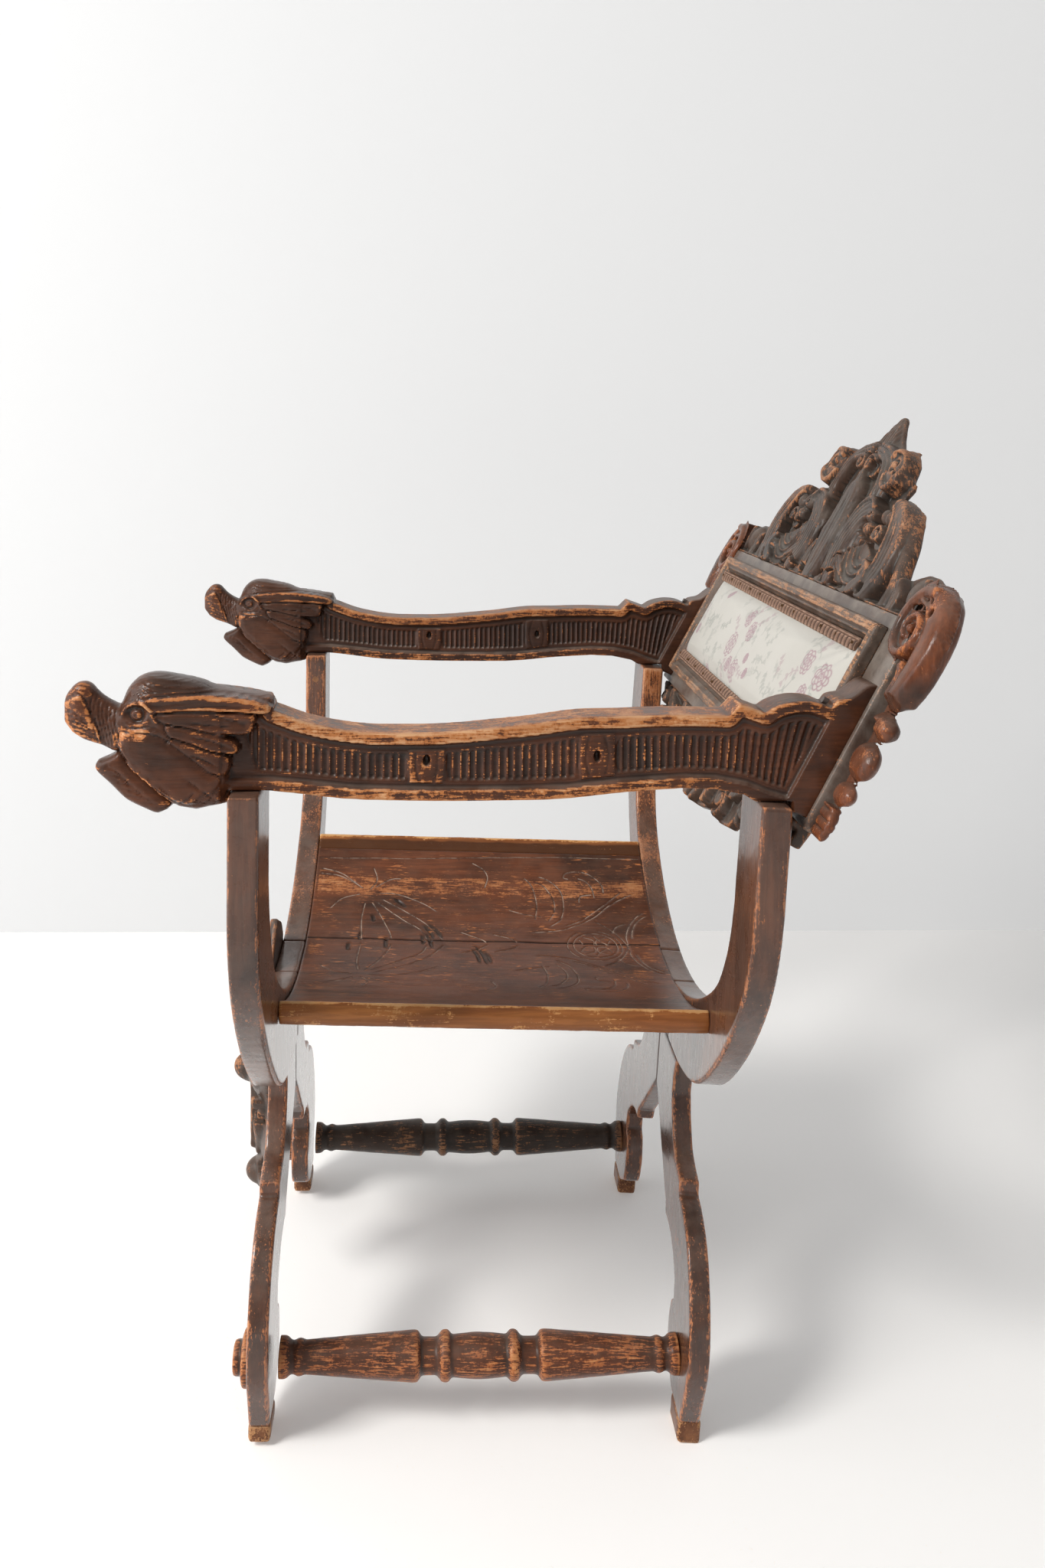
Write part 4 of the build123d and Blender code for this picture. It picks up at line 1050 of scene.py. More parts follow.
def buildArm():
    outline = armOutline()
    cell = arm["cell"]
    field = newField(-441, 256, 615, 747, cell)
    outside = insideDistance(outline, field.gu, field.gv)
    topLine = np.vstack([smoothPath(armTopFront, 5), armTopRear[1:3], smoothPath(armTopRear[2:], 3)[1:],
                         smoothPath(armTopEnd, 3)[1:]])
    bottomLine = np.array([(197, 606), (176, 625), (150, 633)] + armBottomRear[4:] + armBottom[1:] +
        [(-330, 646)], float)
    height, rub = friezeHeight(field, topLine, bottomLine)
    head, headRub = headHeight(field, height, outside)
    inHead = field.gu < arm["headEnd"]
    height = np.where(inHead, head, height)
    rub = np.where(inHead, np.where(field.gu > -300, np.maximum(headRub, 0), headRub), rub)
    depth = np.arange(-33, 33 + cell, cell)
    r = np.where(inHead, 3.2, arm["rounding"])[:, :, None]
    a = outside[:, :, None] + r
    b = np.abs(depth)[None, None, :] - height[:, :, None] + r
    f = rounded(a, b, r)
    grid, faces = surfaceNet(f, (field.u[0], field.v[0], depth[0]), cell)
    grid = relax(grid, faces, 1, 0.5)
    # the top is dusty, and the rear end darker
    onTop = smoothStep(24 - np.abs(grid[:, 2]), 0, 5)
    rear = smoothStep(grid[:, 0], 110, 175)
    inFace = smoothStep(-grid[:, 0], 275, 290)
    return grid, faces, pickField(field, rub, grid) - onTop * (0.10 + 0.34 *
        rear) - 0.2 * rear - 0.06 * inFace


armGrid, armFaces, armRub = buildArm()
armClean = 0.75 * smoothStep(-armGrid[:, 0], 262, 285)
armPlace = {"rearX": 299.0, "frontX": 311.0, "rearY": 158.5, "frontY": -284.0}
splay = math.atan2(armPlace["frontX"] - armPlace["rearX"], armPlace["rearY"] - armPlace["frontY"])
for side, way in (("left", 1), ("right", -1)):
    # drawn square to the floor, then swung out to the front about the rear upright
    y = armGrid[:, 0] - armPlace["rearY"]
    x = armGrid[:, 2]
    px = armPlace["rearX"] + x * math.cos(splay) - y * math.sin(splay)
    py = armPlace["rearY"] + x * math.sin(splay) + y * math.cos(splay)
    verts = np.stack([way * px, py + yShift, armGrid[:, 1]], 1)
    quads = armFaces if way > 0 else armFaces[:, ::-1]
    addPiece(f"arm_{side}_carved", verts, quads, armWood if way > 0 else farArmLessWornShaded,
        (f"arm_{side}",), {"rub": armRub, "clean": armClean}, uneven=0.08)


# ---- the raked back ----

def onBack(grid):
    # from the back's drawing (x, s, n) to the chair
    return boardOrigin + grid[:, :1] * np.array([1.0, 0, 0]) + grid[:, 1:2] * boardUp + grid[:,
        2:3] * boardOut


def fromBack(points):
    rel = points - boardOrigin
    return np.stack([rel[:, 0], rel @ boardUp, rel @ boardOut], 1)


def mirrorHalf(half, field):
    # heights of the whole field, from a half that is drawn for positive u
    at = np.clip(np.round((np.abs(field.u) - half.u[0]) / field.step).astype(int), 0, len(half.u) - 1)
    return half.h[at][:, :len(field.v)]


def reliefNet(field, outside, top, bottom, rounding, low, high):
    # solid between two height fields, inside an outline
    cell = field.step
    depth = np.arange(low - 2.5 * cell, high + 3.5 * cell, cell)
    mid = (top + bottom) / 2
    half = (top - bottom) / 2
    r = np.minimum(rounding, np.maximum(half * 0.9, 0.3))[:, :, None]
    a = outside[:, :, None] + r
    b = np.abs(depth[None, None, :] - mid[:, :, None]) - half[:, :, None] + r
    f = rounded(a, b, r)
    grid, faces = surfaceNet(f, (field.u[0], field.v[0], depth[0]), cell)
    return relax(grid, faces, 1, 0.5), faces


def leaf(field, path, widths, base, rise, vein=5.0, veinDepth=1.2, curl=0.0, hollow=0.0, step=2.5):
    # an acanthus leaf along a path: widths at its start, middle and end; crisp veins run along it
    line = smoothPath(path, step)
    win = windowOf(field, line, max(widths))
    gu, gv = field.gu[win], field.gv[win]
    dist, share, side = pathDistance(line, gu, gv)
    width = np.interp(share, [0, 0.5, 1], widths) / 2
    across = dist / np.maximum(width, 0.1)
    shape = dome((1 - across) * 2.4)
    value = base + rise * shape + curl * share * share
    value -= hollow * (1 - np.clip(across, 0, 1) ** 2)
    if veinDepth:
        phase = (dist + vein * 0.5) % vein - vein * 0.5
        fade = smoothStep(share, 0.02, 0.15) * smoothStep(1 - share, 0.0, 0.12)
        value -= veinDepth * np.exp(-(phase / 0.85) ** 2) * (across < 0.93) * fade
    layOver(field, win, across < 1, value)


def strand(field, path, widths, top, drop, sharp=2.2):
    # a rounded strand laid over what is there; its top follows a height at start, middle and end
    line = smoothPath(path, 2.5)
    win = windowOf(field, line, max(widths))
    gu, gv = field.gu[win], field.gv[win]
    dist, share, _ = pathDistance(line, gu, gv)
    half = np.interp(share, [0, 0.5, 1], widths) / 2
    height = np.interp(share, [0, 0.5, 1], top)
    value = height - drop * (1 - dome((1 - dist / half) * sharp / 2))
    layOver(field, win, dist < half, value)


def hole(field, cx, cy, rx, ry, depth, turn=0.0):
    # a drilled or gouged hollow
    win = windowOf(field, np.array([[cx, cy]]), max(rx, ry) + 2)
    gu, gv = field.gu[win] - cx, field.gv[win] - cy
    a = math.radians(turn)
    d = np.hypot((gu * math.cos(a) + gv * math.sin(a)) / rx, (gv * math.cos(a) - gu * math.sin(a)) / ry)
    field.h[win] -= depth * smoothStep(1 - d, 0, 0.45)


def scroll(field, cx, cy, outer, inner, start, turns, base, rise, width, hand=1):
    # a rolled volute with a button at its eye
    line = spiralPath(0, 0, outer, inner, 0, turns, 70)
    turn = math.radians(start)
    x, y = line[:, 0], line[:, 1] * hand
    line = np.stack([cx + x * math.cos(turn) - y * math.sin(turn),
        cy + x * math.sin(turn) + y * math.cos(turn)], 1)
    disc = arcPath(cx, cy, outer + width * 0.4, 0, 360, 30)[:-1]
    win = windowOf(field, disc, 2)
    far = insideDistance(disc, field.gu[win], field.gv[win])
    field.h[win] = np.where(far < 0, base - rise * 0.5 + 0.1 * dome(-far), field.h[win])
    win = windowOf(field, line, width)
    dist, share, _ = pathDistance(line, field.gu[win], field.gv[win])
    w = width * (1 - 0.45 * share) / 2
    value = base + rise * dome(1 - dist / w) - rise * 0.5
    layOver(field, win, dist < w, value + 0.25 * rise * share)
    knob(field, cx, cy, inner * 1.25, base, rise * 0.8)


def knob(field, cx, cy, radius, base, rise):
    gu, gv = field.gu, field.gv
    d = np.hypot(gu - cx, gv - cy)
    field.h = np.where(d < radius, np.maximum(field.h, base + rise * dome(1 - d / radius)), field.h)


def shell(field, cx, cy, radius, start, end, base, rise, rings=5):
    # a dished shell of thin rings that run round its eye
    gu, gv = field.gu, field.gv
    d = np.hypot(gu - cx, gv - cy)
    angle = np.degrees(np.arctan2(gv - cy, gu - cx))
    angle = (angle - start) % 360
    fade = smoothStep(angle, 0, 14) * smoothStep((end - start) - angle, 0, 14)
    t = np.clip(d / radius, 0, 1)
    phase = (t ** 0.9 * rings) % 1.0
    ringShape = np.exp(-((phase - 0.72) / 0.17) ** 2)
    value = base + rise * (0.30 + 0.35 * t) + rise * 0.35 * ringShape * smoothStep(t, 0.15, 0.4)
    edge = smoothStep(1 - d / radius, 0, 0.05)
    value = base - 3 + (value - base + 3) * fade * edge
    field.h = np.where((d < radius) & (fade > 0), np.maximum(field.h, value), field.h)


crest = {
    "cell": 1.35,
    "back": -22.0,
    "proud": 10.0,
    "floor": -14.0,
}
crestSide = [(299, 60), (299, 101), (284, 105.5), (264, 106), (250, 102), (240, 98), (233, 95), (226, 94),
    (220, 107), (214, 121), (209, 131), (202, 140), (193, 151), (182, 160), (167, 166.5), (150, 169),
    (134, 172), (118, 173), (122, 178), (125, 183), (123, 190), (118, 196), (116, 204), (112, 212),
    (102, 220), (90, 226), (76, 226), (62, 224), (50, 226), (40, 232), (30, 240), (22, 248), (13, 257),
    (8, 264), (3, 267.5)]


def buildCrest():
    cell = crest["cell"]
    field = newField(-304, 304, 56, 271, cell)
    side = np.array(crestSide, float)
    outline = np.vstack([side, side[::-1] * np.array([-1.0, 1.0])])
    outside = insideDistance(outline, field.gu, field.gv)
    half = newField(-8, 304, 56, 271, cell)
    half.h += crest["floor"]
    gu, gv = half.gu, half.gv
    # foot flush with the board, under the hanging leaf ends
    half.h = np.maximum(half.h, -1 - 13 * smoothStep(gv, 61, 67))
    # ball at the outer end and small leaves beside it
    knob(half, 276, 83, 21, -18, 15)
    leaf(half, [(298, 62), (296, 80), (288, 98)], (12, 12, 6), -12, 8, 4, 0.8)
    leaf(half, [(246, 64), (243, 78), (236, 92)], (14, 18, 8), -12, 10, 4.5, 1.0)
    strand(half, [(232, 62), (229, 76), (221, 92)], (12, 12, 7), (-6, -7, -8), 6)
    # outer plume: a roll along the outline, a flecked leaf inside it
    roll = [(219, 64), (220, 84), (211, 108), (197, 132), (176, 152), (150, 161)]
    strand(half, roll, (20, 25, 14), (-4, -4, -3), 12)
    leaf(half, [(176, 66), (189, 92), (190, 116), (181, 140), (164, 158), (154, 163)], (30, 36, 16), -10,
        13, 20, 0)
    strand(half, [(162, 72), (173, 96), (172, 124), (160, 148), (150, 158)], (7, 9, 6), (2, 4, 4), 6)
    strand(half, [(186, 66), (199, 90), (200, 114), (190, 138)], (7, 8, 5), (1, 2.5, 2), 6)
    for shift in (0, 7):
        groove(half, smoothPath([(178 + shift, 74), (186 + shift, 100), (180 + shift, 130),
            (166 + shift, 150)], 3), 2.6, 1.6, 0.2)
    # curled buds between plume and shell
    scroll(half, 141, 126, 12, 3.5, 200, 1.3, -2, 8, 7, -1)
    knob(half, 146, 146, 10, -8, 10)
    knob(half, 128, 148, 9, -8, 8)
    hole(half, 134, 106, 4.5, 3.5, 8)
    # shell of thin rings hanging below them
    shell(half, 122, 112, 55, 150, 345, -9, 10, 6)
    leaf(half, [(150, 66), (164, 76), (165, 88), (154, 96)], (18, 20, 9), -8, 13, 20, 0)
    knob(half, 160, 84, 11, -5, 11)
    hole(half, 173, 70, 8, 6, 12, 30)
    # leaves rising either side of the middle
    leaf(half, [(70, 68), (58, 92), (58, 118), (70, 142), (90, 152), (103, 144)], (20, 46, 15), -9, 11,
        6.5, 1.3)
    strand(half, [(44, 108), (48, 136), (62, 156), (84, 163), (102, 153)], (5, 7, 6), (1, 3, 5), 5)
    knob(half, 104, 144, 8, -4, 10)
    hole(half, 104, 145, 3.6, 3.0, 7)
    knob(half, 111, 130, 8, -4, 10)
    leaf(half, [(64, 104), (72, 92), (86, 84), (100, 76)], (12, 14, 5), -8, 9, 5, 1.0)
    # broad middle tongue, its tip hanging over the board
    leaf(half, [(0, 62), (0, 96), (0, 134), (0, 170)], (30, 62, 34), -13, 13, 9.0, 1.1)
    leaf(half, [(34, 62), (36, 84), (28, 104)], (16, 18, 8), -11, 9, 5, 1.0)
    leaf(half, [(52, 64), (44, 78), (34, 92)], (11, 12, 5), -11, 7, 5, 0.8)
    hole(half, 30, 70, 13, 4.0, 11, 22)
    hole(half, 62, 74, 15, 3.6, 11, 18)
    hole(half, 104, 66, 11, 2.6, 7, 0)
    # arched strands and volutes under the tip
    for k, lift in ((0, 0.0), (1, 1.6), (2, 2.6)):
        strand(half, [(76 - 8 * k, 150), (82 - 9 * k, 176), (70 - 9 * k, 204), (44 - 8 * k, 221 - 4 * k),
                      (10, 229 - 6 * k)], (11, 10, 8), (-3 + lift, -2 + lift, -3 + lift), 9)
    hole(half, 33, 197, 12, 9, 13, 20)
    scroll(half, 14, 203, 11, 3.5, 30, 1.3, -3, 9, 7, 1)
    leaf(half, [(0, 172), (0, 186), (0, 196)], (24, 20, 8), -10, 9, 6, 0.9)
    # great curled end, hollowed like a broken rose
    knob(half, 97, 198, 27, -10, 14)
    hole(half, 93, 201, 13, 8, 7, 15)
    knob(half, 90, 203, 6, -3, 7)
    strand(half, [(78, 190), (84, 180), (98, 176), (112, 184), (117, 200), (108, 214), (92, 218), (79, 210)],
           (7, 8, 6), (4, 6, 5), 5)
    hole(half, 103, 193, 5, 3, 6, -30)
    knob(half, 112, 186, 8, -3, 9)
    knob(half, 84, 214, 7, -3, 9)
    # tip: a thin ribbed leaf that bends back to its point
    leaf(half, [(0, 222), (0, 244), (0, 268)], (72, 42, 4), -17, 9, 6.0, 1.2, -6.0)
    for lean in (7, 15, 24):
        groove(half, smoothPath([(lean * 1.3, 222), (lean, 236), (lean * 0.35, 254)], 3), 2.4, 1.3, 0.2)
    work = overlay(field, mirrorHalf(half, field))
    groove(work, [(58, 88), (66, 96), (76, 98), (86, 108), (98, 112), (108, 120), (112, 134)], 2.6, 5.0, 0.05)
    groove(work, [(-30, 120), (-26, 134), (-20, 142)], 2.0, 3.0, 0.1)
    top = np.clip(work.h, -20.5, crest["proud"] - 0.4)
    # thinner and rounder towards the silhouette
    thin = smoothStep(-outside, 26, 4)
    bottom = crest["back"] + 0.3 + 1.5 * thin
    bottom = np.minimum(bottom, top - 3.2)
    bottom = np.maximum(bottom, crest["back"] + 0.2)
    top = np.maximum(top, bottom + 1.6)
    rounding = np.where(field.gv > 66, 8.5, 2.0)
    grid, faces = reliefNet(field, outside, top, bottom, rounding, crest["back"], crest["proud"])
    height = pickField(field, top, grid)
    plume = pickField(field, (outside > -24) & (np.abs(field.gu) > 145) & (np.abs(field.gu) < 232)
                      & (field.gv > 80), grid)
    inner = pickField(field, (np.abs(np.abs(field.gu) - 172) < 13) & (field.gv > 84), grid)
    ball = pickField(field, np.hypot(np.abs(field.gu) - 98, field.gv - 200) < 30, grid)
    rub = 0.18 * smoothStep(height, 0, 7) + 0.42 * plume + 0.18 * inner + 0.38 * ball
    rub = np.where(grid[:, 2] > -17, rub, 0)
    addPiece("back_crest_carved", onBack(grid), faces, crestOak, ("back_crest",),
        {"rub": rub}, uneven=0.25)


wing = {
    "cell": 1.3,
    "middle": -10.0,        # depth of the wing's middle, off the board's front
    "boardEdge": 320,       # half the board's width
}
wingOuter = [(316, -138), (337, -138), (341, -131), (343, -123), (341, -114), (337, -105), (346, -101),
    (353, -94), (350, -86), (341, -81), (352, -75), (359, -62), (356, -50), (344, -43), (356, -39),
    (360, -31), (357, -22), (346, -16), (354, -6), (361, 6), (366, 22), (369, 40), (368, 56), (362, 75),
    (350, 90), (334, 99), (318, 102), (303, 96), (294, 84), (289, 66), (290, 46), (297, 33), (308, 26),
    (316, 23)]


def buildWings():
    cell = wing["cell"]
    field = newField(286, 373, -142, 106, cell)
    gu, gv = field.gu, field.gv
    outline = np.array(wingOuter, float)
    outside = insideDistance(outline, gu, gv)
    # the volute laps over the board's front; below it the web runs into the board's edge
    lapped = (gu < wing["boardEdge"]) & (gv > 22)
    top = np.where(lapped, 0.5, -13.0)
    work = overlay(field, top)
    # fat roll down the outer side
    roll = smoothPath([(336, -20), (345, -4), (351, 18), (352, 44), (347, 66), (337, 81), (322, 91)], 3)
    dist, share, _ = pathDistance(roll, gu, gv)
    half = np.interp(share, [0, 0.25, 0.55, 0.85, 1], [9, 13.5, 16.5, 15, 9])
    value = -10 + 12 * dome((1 - dist / half) * 1.2)
    work.h = np.where(dist < half, np.maximum(work.h, value), work.h)
    flecks = 0.46 * smoothStep(gu - 324, 0, 8) * smoothStep(352 - gu, 0, 14) * smoothStep(gv, -4, 14)
    # volute laid over the board's edge, with pierced hollows
    spiral = [(330, 90), (312, 88), (299, 76), (294, 58), (299, 41), (312, 31), (327, 33), (337, 45),
        (335, 59), (323, 67), (311, 62), (308, 52), (314, 46)]
    strand(work, spiral, (12, 9, 6), (4.5, 5.6, 4.0), 5.5, 2.6)
    strand(work, [(300, 84), (314, 80), (328, 76), (338, 66)], (6, 6, 4), (2, 2.6, 2), 4)
    for cx, cy, rx, ry, depth, turn in ((340, 72, 5, 4.5, 11, 20), (309, 73, 9, 2.6, 7, 10),
            (322, 42, 6, 3.6, 9, 10), (339, 34, 7, 4.6, 10, 50), (315, 57, 4.5, 2.0, 5, 0),
            (331, 82, 5, 2.2, 6, -30)):
        hole(work, cx, cy, rx, ry, depth, turn)
    knob(work, 320, 54, 4.6, 0, 5)
    leaf(work, [(328, 22), (334, 10), (330, -6)], (12, 14, 6), -10, 9, 4, 0.9)
    # ball, bulb, small ball
    rubbed = flecks
    for cx, cy, rx, ry, low, rise, bare in ((347, -30, 14, 12, -15, 13, 0.5),
            (340, -62, 21, 19, -15, 12.5, 0.2), (337, -94, 17, 12.5, -15, 11, 0.12)):
        d = np.hypot((gu - cx) / rx, (gv - cy) / ry)
        work.h = np.where(d < 1.0, np.maximum(work.h, low + rise * dome((1 - d) * 1.6)), work.h)
        rubbed = np.maximum(rubbed, bare * smoothStep(1 - d, 0.05, 0.5))
    for s in (-15.5, -43, -80.5, -107):
        work.h = np.where((gu > wing["boardEdge"]) & (gv < 10),
            np.minimum(work.h, -12.5 + 1.1 * np.abs(gv - s)), work.h)
    # stepped block at the bottom
    block = (gv < -108) & (gu > 318)
    phase = (gv + 138) % 8.5
    steps = -6.4 + 0.5 * np.floor((gv + 138) / 8.5) - 2.2 * np.exp(-((phase - 1.2) / 1.1) ** 2)
    work.h = np.where(block, steps, work.h)
    rubbed = np.maximum(rubbed, 0.12 * block)
    top = np.clip(work.h, -14, 5.8)
    bottom = np.where(lapped, -0.8, np.maximum(-21.8, 2 * wing["middle"] - top - 1.5))
    bottom = np.minimum(bottom, top - 1.2)
    rounding = np.where(gu < 326, 2.0, 6.0)
    grid, faces = reliefNet(field, outside, top, bottom, rounding, -22, 6)
    rub = pickField(field, rubbed, grid)
    rub = rub * smoothStep(grid[:, 2], -16, -8)
    for side, way in (("left", 1), ("right", -1)):
        placed = grid * np.array([way, 1, 1])
        quads = faces if way > 0 else faces[:, ::-1]
        addPiece(f"back_wing_{side}_carved", onBack(placed), quads, rubbedOak,
            (f"back_wing_{side}",), {"rub": rub}, uneven=0.18)


apron = {"cell": 1.6, "back": -21.8, "front": 2.0}


def buildApron():
    cell = apron["cell"]
    outline = outlineOf("back_apron", boardOrigin, boardUp, boardOut)[0]
    field = newField(-296, 296, -216, -134, cell)
    gu, gv = field.gu, field.gv
    outside = insideDistance(outline, gu, gv)
    half = newField(-6, 296, -216, -134, cell)
    half.h += -9.0
    half.h = np.maximum(half.h, -3 - 6 * smoothStep(-half.gv, 140, 148))
    scroll(half, 262, -156, 14, 4, 240, 1.4, -4, 9, 8, 1)
    scroll(half, 182, -168, 17, 5, 250, 1.5, -4, 10, 9, -1)
    scroll(half, 108, -180, 18, 5, 250, 1.5, -4, 10, 9, 1)
    leaf(half, [(288, -140), (276, -146), (266, -152)], (10, 12, 6), -7, 8, 3, 0.9)
    leaf(half, [(236, -140), (222, -152), (204, -158), (190, -152)], (14, 18, 8), -7, 9, 3.2, 1.0)
    leaf(half, [(160, -140), (148, -158), (132, -170)], (14, 18, 8), -7, 9, 3.2, 1.0)
    leaf(half, [(90, -140), (76, -156), (62, -176), (58, -198)], (14, 18, 8), -7, 9, 3.2, 1.0)
    leaf(half, [(0, -138), (0, -160), (0, -186), (0, -212)], (40, 36, 14), -6, 8, 4.4, 1.1)
    leaf(half, [(22, -140), (30, -168), (30, -192), (22, -208)], (14, 18, 8), -7, 9, 3.2, 1.0)
    top = np.minimum(mirrorHalf(half, field), apron["front"] - 0.3)
    bottom = np.full(top.shape, apron["back"])
    grid, faces = reliefNet(field, outside, top, bottom, 2.4, -22, 2)
    addPiece("back_apron_carved", onBack(grid), faces, carvedOak, ("back_apron",), uneven=0.2)


moulding = {
    "cell": 1.05,
    "width": 19.0,
    # across the moulding from its inner edge, and height off the board
    "section": [
        (0, 0), (19, 0), (19, 8.2), (17.6, 10.8), (15.4, 11.9), (9.6, 11.9), (8.7, 10.3),
        (7.3, 9.6), (6.5, 7.8), (5.6, 8.9), (4.4, 8.9), (3.7, 6.9), (2.0, 5.6), (0, 4.7)],
}


def backExtent(node):
    # (lowest, highest) x, s and n of a node on the back
    place = fromBack(meshPoints(frame["nodes"][node].data))
    return place.min(0), place.max(0)


def buildMoulding():
    cell = moulding["cell"]
    top = backExtent("back_moulding_top")
    bottom = backExtent("back_moulding_bottom")
    halfX = top[1][0]
    s0, s1 = bottom[0][1], top[1][1]
    middle = (s0 + s1) / 2
    halfS = (s1 - s0) / 2
    section = np.array(moulding["section"], float)
    table = newField(-4, 24, -4, 16, 0.5)
    inside = insideDistance(section, table.gu, table.gv)
    for name in ("top", "bottom", "left", "right"):
        low, high = backExtent("back_moulding_" + name)
        low, high = low - 2.5, high + 2.5
        low[2], high[2] = -2.2, 14.2
        xs = np.arange(low[0], high[0], cell)
        ss = np.arange(low[1], high[1], cell)
        ns = np.arange(low[2], high[2], cell)
        gx, gs = np.meshgrid(xs, ss, indexing="ij")
        dx = np.abs(gx) - (halfX - moulding["width"])
        ds = np.abs(gs - middle) - (halfS - moulding["width"])
        own = {"top": ds, "bottom": ds, "left": dx, "right": dx}[name]
        other = {"top": dx, "bottom": dx, "left": ds, "right": ds}[name]
        flat = np.stack([gx, gs, np.zeros_like(gx)], -1)
        u = own + lumps(flat, 14, 21) * 0.18
        iu = np.clip((u + 4) / 0.5, 0, len(table.u) - 2.001)
        a = iu.astype(int)
        fa = (iu - a)[..., None]
        iv = np.clip((ns + 4) / 0.5, 0, len(table.v) - 2.001)
        b = iv.astype(int)
        fb = (iv - b)[None, None, :]
        f = (inside[a][:, :, b] * (1 - fa) * (1 - fb) + inside[a + 1][:, :, b] * fa * (1 - fb)
             + inside[a][:, :, b + 1] * (1 - fa) * fb + inside[a + 1][:, :, b + 1] * fa * fb)
        f = np.maximum(f, ((other - own) * 0.707 + 0.12)[..., None])
        grid, faces = surfaceNet(f, (xs[0], ss[0], ns[0]), cell)
        grid = relax(grid, faces, 1, 0.4)
        rub = 0.5 * smoothStep(grid[:, 2], 10.5, 11.6)
        addPiece(f"back_moulding_{name}_run", onBack(grid), faces, mouldingWood,
                 (f"back_moulding_{name}",), {"rub": rub}, uneven=0.1)


# ---- turned pieces ----

def turnedPiece(name, profile, start, end, material, node, around=84, step=1.1, oval=0.0):
    # spins a profile of (distance from the start, diameter) about the line from start to end
    start, end = np.array(start, float), np.array(end, float)
    axis = end - start
    length = np.linalg.norm(axis)
    axis /= length
    p = np.array(profile, float)
    count = max(8, int(length / step))
    t = np.linspace(0, length, count)
    radius = np.interp(t, p[:, 0], p[:, 1] / 2)
    soft = np.convolve(np.pad(radius, 2, mode="edge"), [0.1, 0.2, 0.4, 0.2, 0.1], "valid")
    radius = np.where((t > 2) & (t < length - 2), soft, radius)
    side = np.cross(axis, [0.31, 0.2, 0.93])
    side /= np.linalg.norm(side)
    other = np.cross(axis, side)
    angle = np.linspace(0, 2 * math.pi, around, endpoint=False)
    ring = np.cos(angle)[:, None] * side + np.sin(angle)[:, None] * other
    rows = [start + axis * t[0] + ring * radius[0] * share for share in (0.02, 0.35, 0.7)]
    rows += [start + axis * t[k] + ring * radius[k] for k in range(count)]
    rows += [start + axis * t[-1] + ring * radius[-1] * share for share in (0.7, 0.35, 0.02)]
    verts = np.vstack(rows)
    faces = []
    a = np.arange(around)
    b = (a + 1) % around
    for k in range(len(rows) - 1):
        faces.append(np.stack([a + k * around, b + k * around, b + (k + 1) * around,
            a + (k + 1) * around], 1))
    last = (len(rows) - 1) * around
    half = around // 2
    k = np.arange(half - 1)
    faces.append(np.stack([k, (around - k) % around, around - 1 - k, k + 1], 1)[1:])
    faces.append((np.stack([k, k + 1, around - 1 - k, (around - k) % around], 1) + last)[1:])
    quads = np.vstack(faces)
    return addPiece(name, verts, quads, material, (node,), uneven=0.1, fineRounds=8)


stretcher = {
    "offset": 181.0,
    "height": 65.5,
    # distance from the middle and diameter, one half
    "half": [
        (0, 36.5), (8, 36.0), (16, 34.6), (24, 33.2), (26.5, 33.0), (27.5, 37.5), (29.5, 40.6), (33, 41.0),
        (36, 39.4), (37.5, 35.5), (39, 31.5), (41, 29.6), (50, 29.6), (55, 30.2), (56.5, 37.0), (58, 40.0),
        (62, 40.8), (80, 38.4), (120, 32.8), (160, 27.2), (164, 26.6), (166, 28.6), (169, 30.0), (172, 28.4),
        (173.5, 26.2), (177, 26.4), (179, 30.5), (181.5, 33.6), (186, 34.0), (187.5, 33.6)],
}
stretcherBoss = {"profile": [(0, 47.0), (3.2, 48.0), (6.6, 47.6), (8.2, 45.4), (9.0, 42.0), (9.05, 31.0),
    (9.6, 29.2), (14.0, 29.2), (16.6, 27.6), (17.7, 22.0), (18.0, 14.0)],}


def buildTurned():
    for side, way in (("left", 1), ("right", -1)):
        y0, y1 = frontRear, backPlane[0][1] + leanSlope * stretcher["height"]
        middle = (y0 + y1) / 2
        reach = (y1 - y0) / 2
        drawn = stretcher["half"][-1][0]
        right = [(reach + d * reach / drawn, w) for d, w in stretcher["half"]]
        left = [(reach - d * reach / drawn, w) for d, w in stretcher["half"][::-1]]
        x = way * stretcher["offset"]
        turnedPiece(f"stretcher_{side}_turned", left + right[1:], (x, y0, stretcher["height"]),
                    (x, y1, stretcher["height"]), turnedWood if way > 0 else farTurnedLessWornShaded,
                    f"stretcher_{side}")
        low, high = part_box(f"stretcher_boss_{side}")
        turnedPiece(f"stretcher_boss_{side}_turned", stretcherBoss["profile"],
            (x, high.y * 1000, stretcher["height"]), (x, low.y * 1000, stretcher["height"]), turnedWood,
            f"stretcher_boss_{side}", around=72, step=0.6)


# ---- seat ----

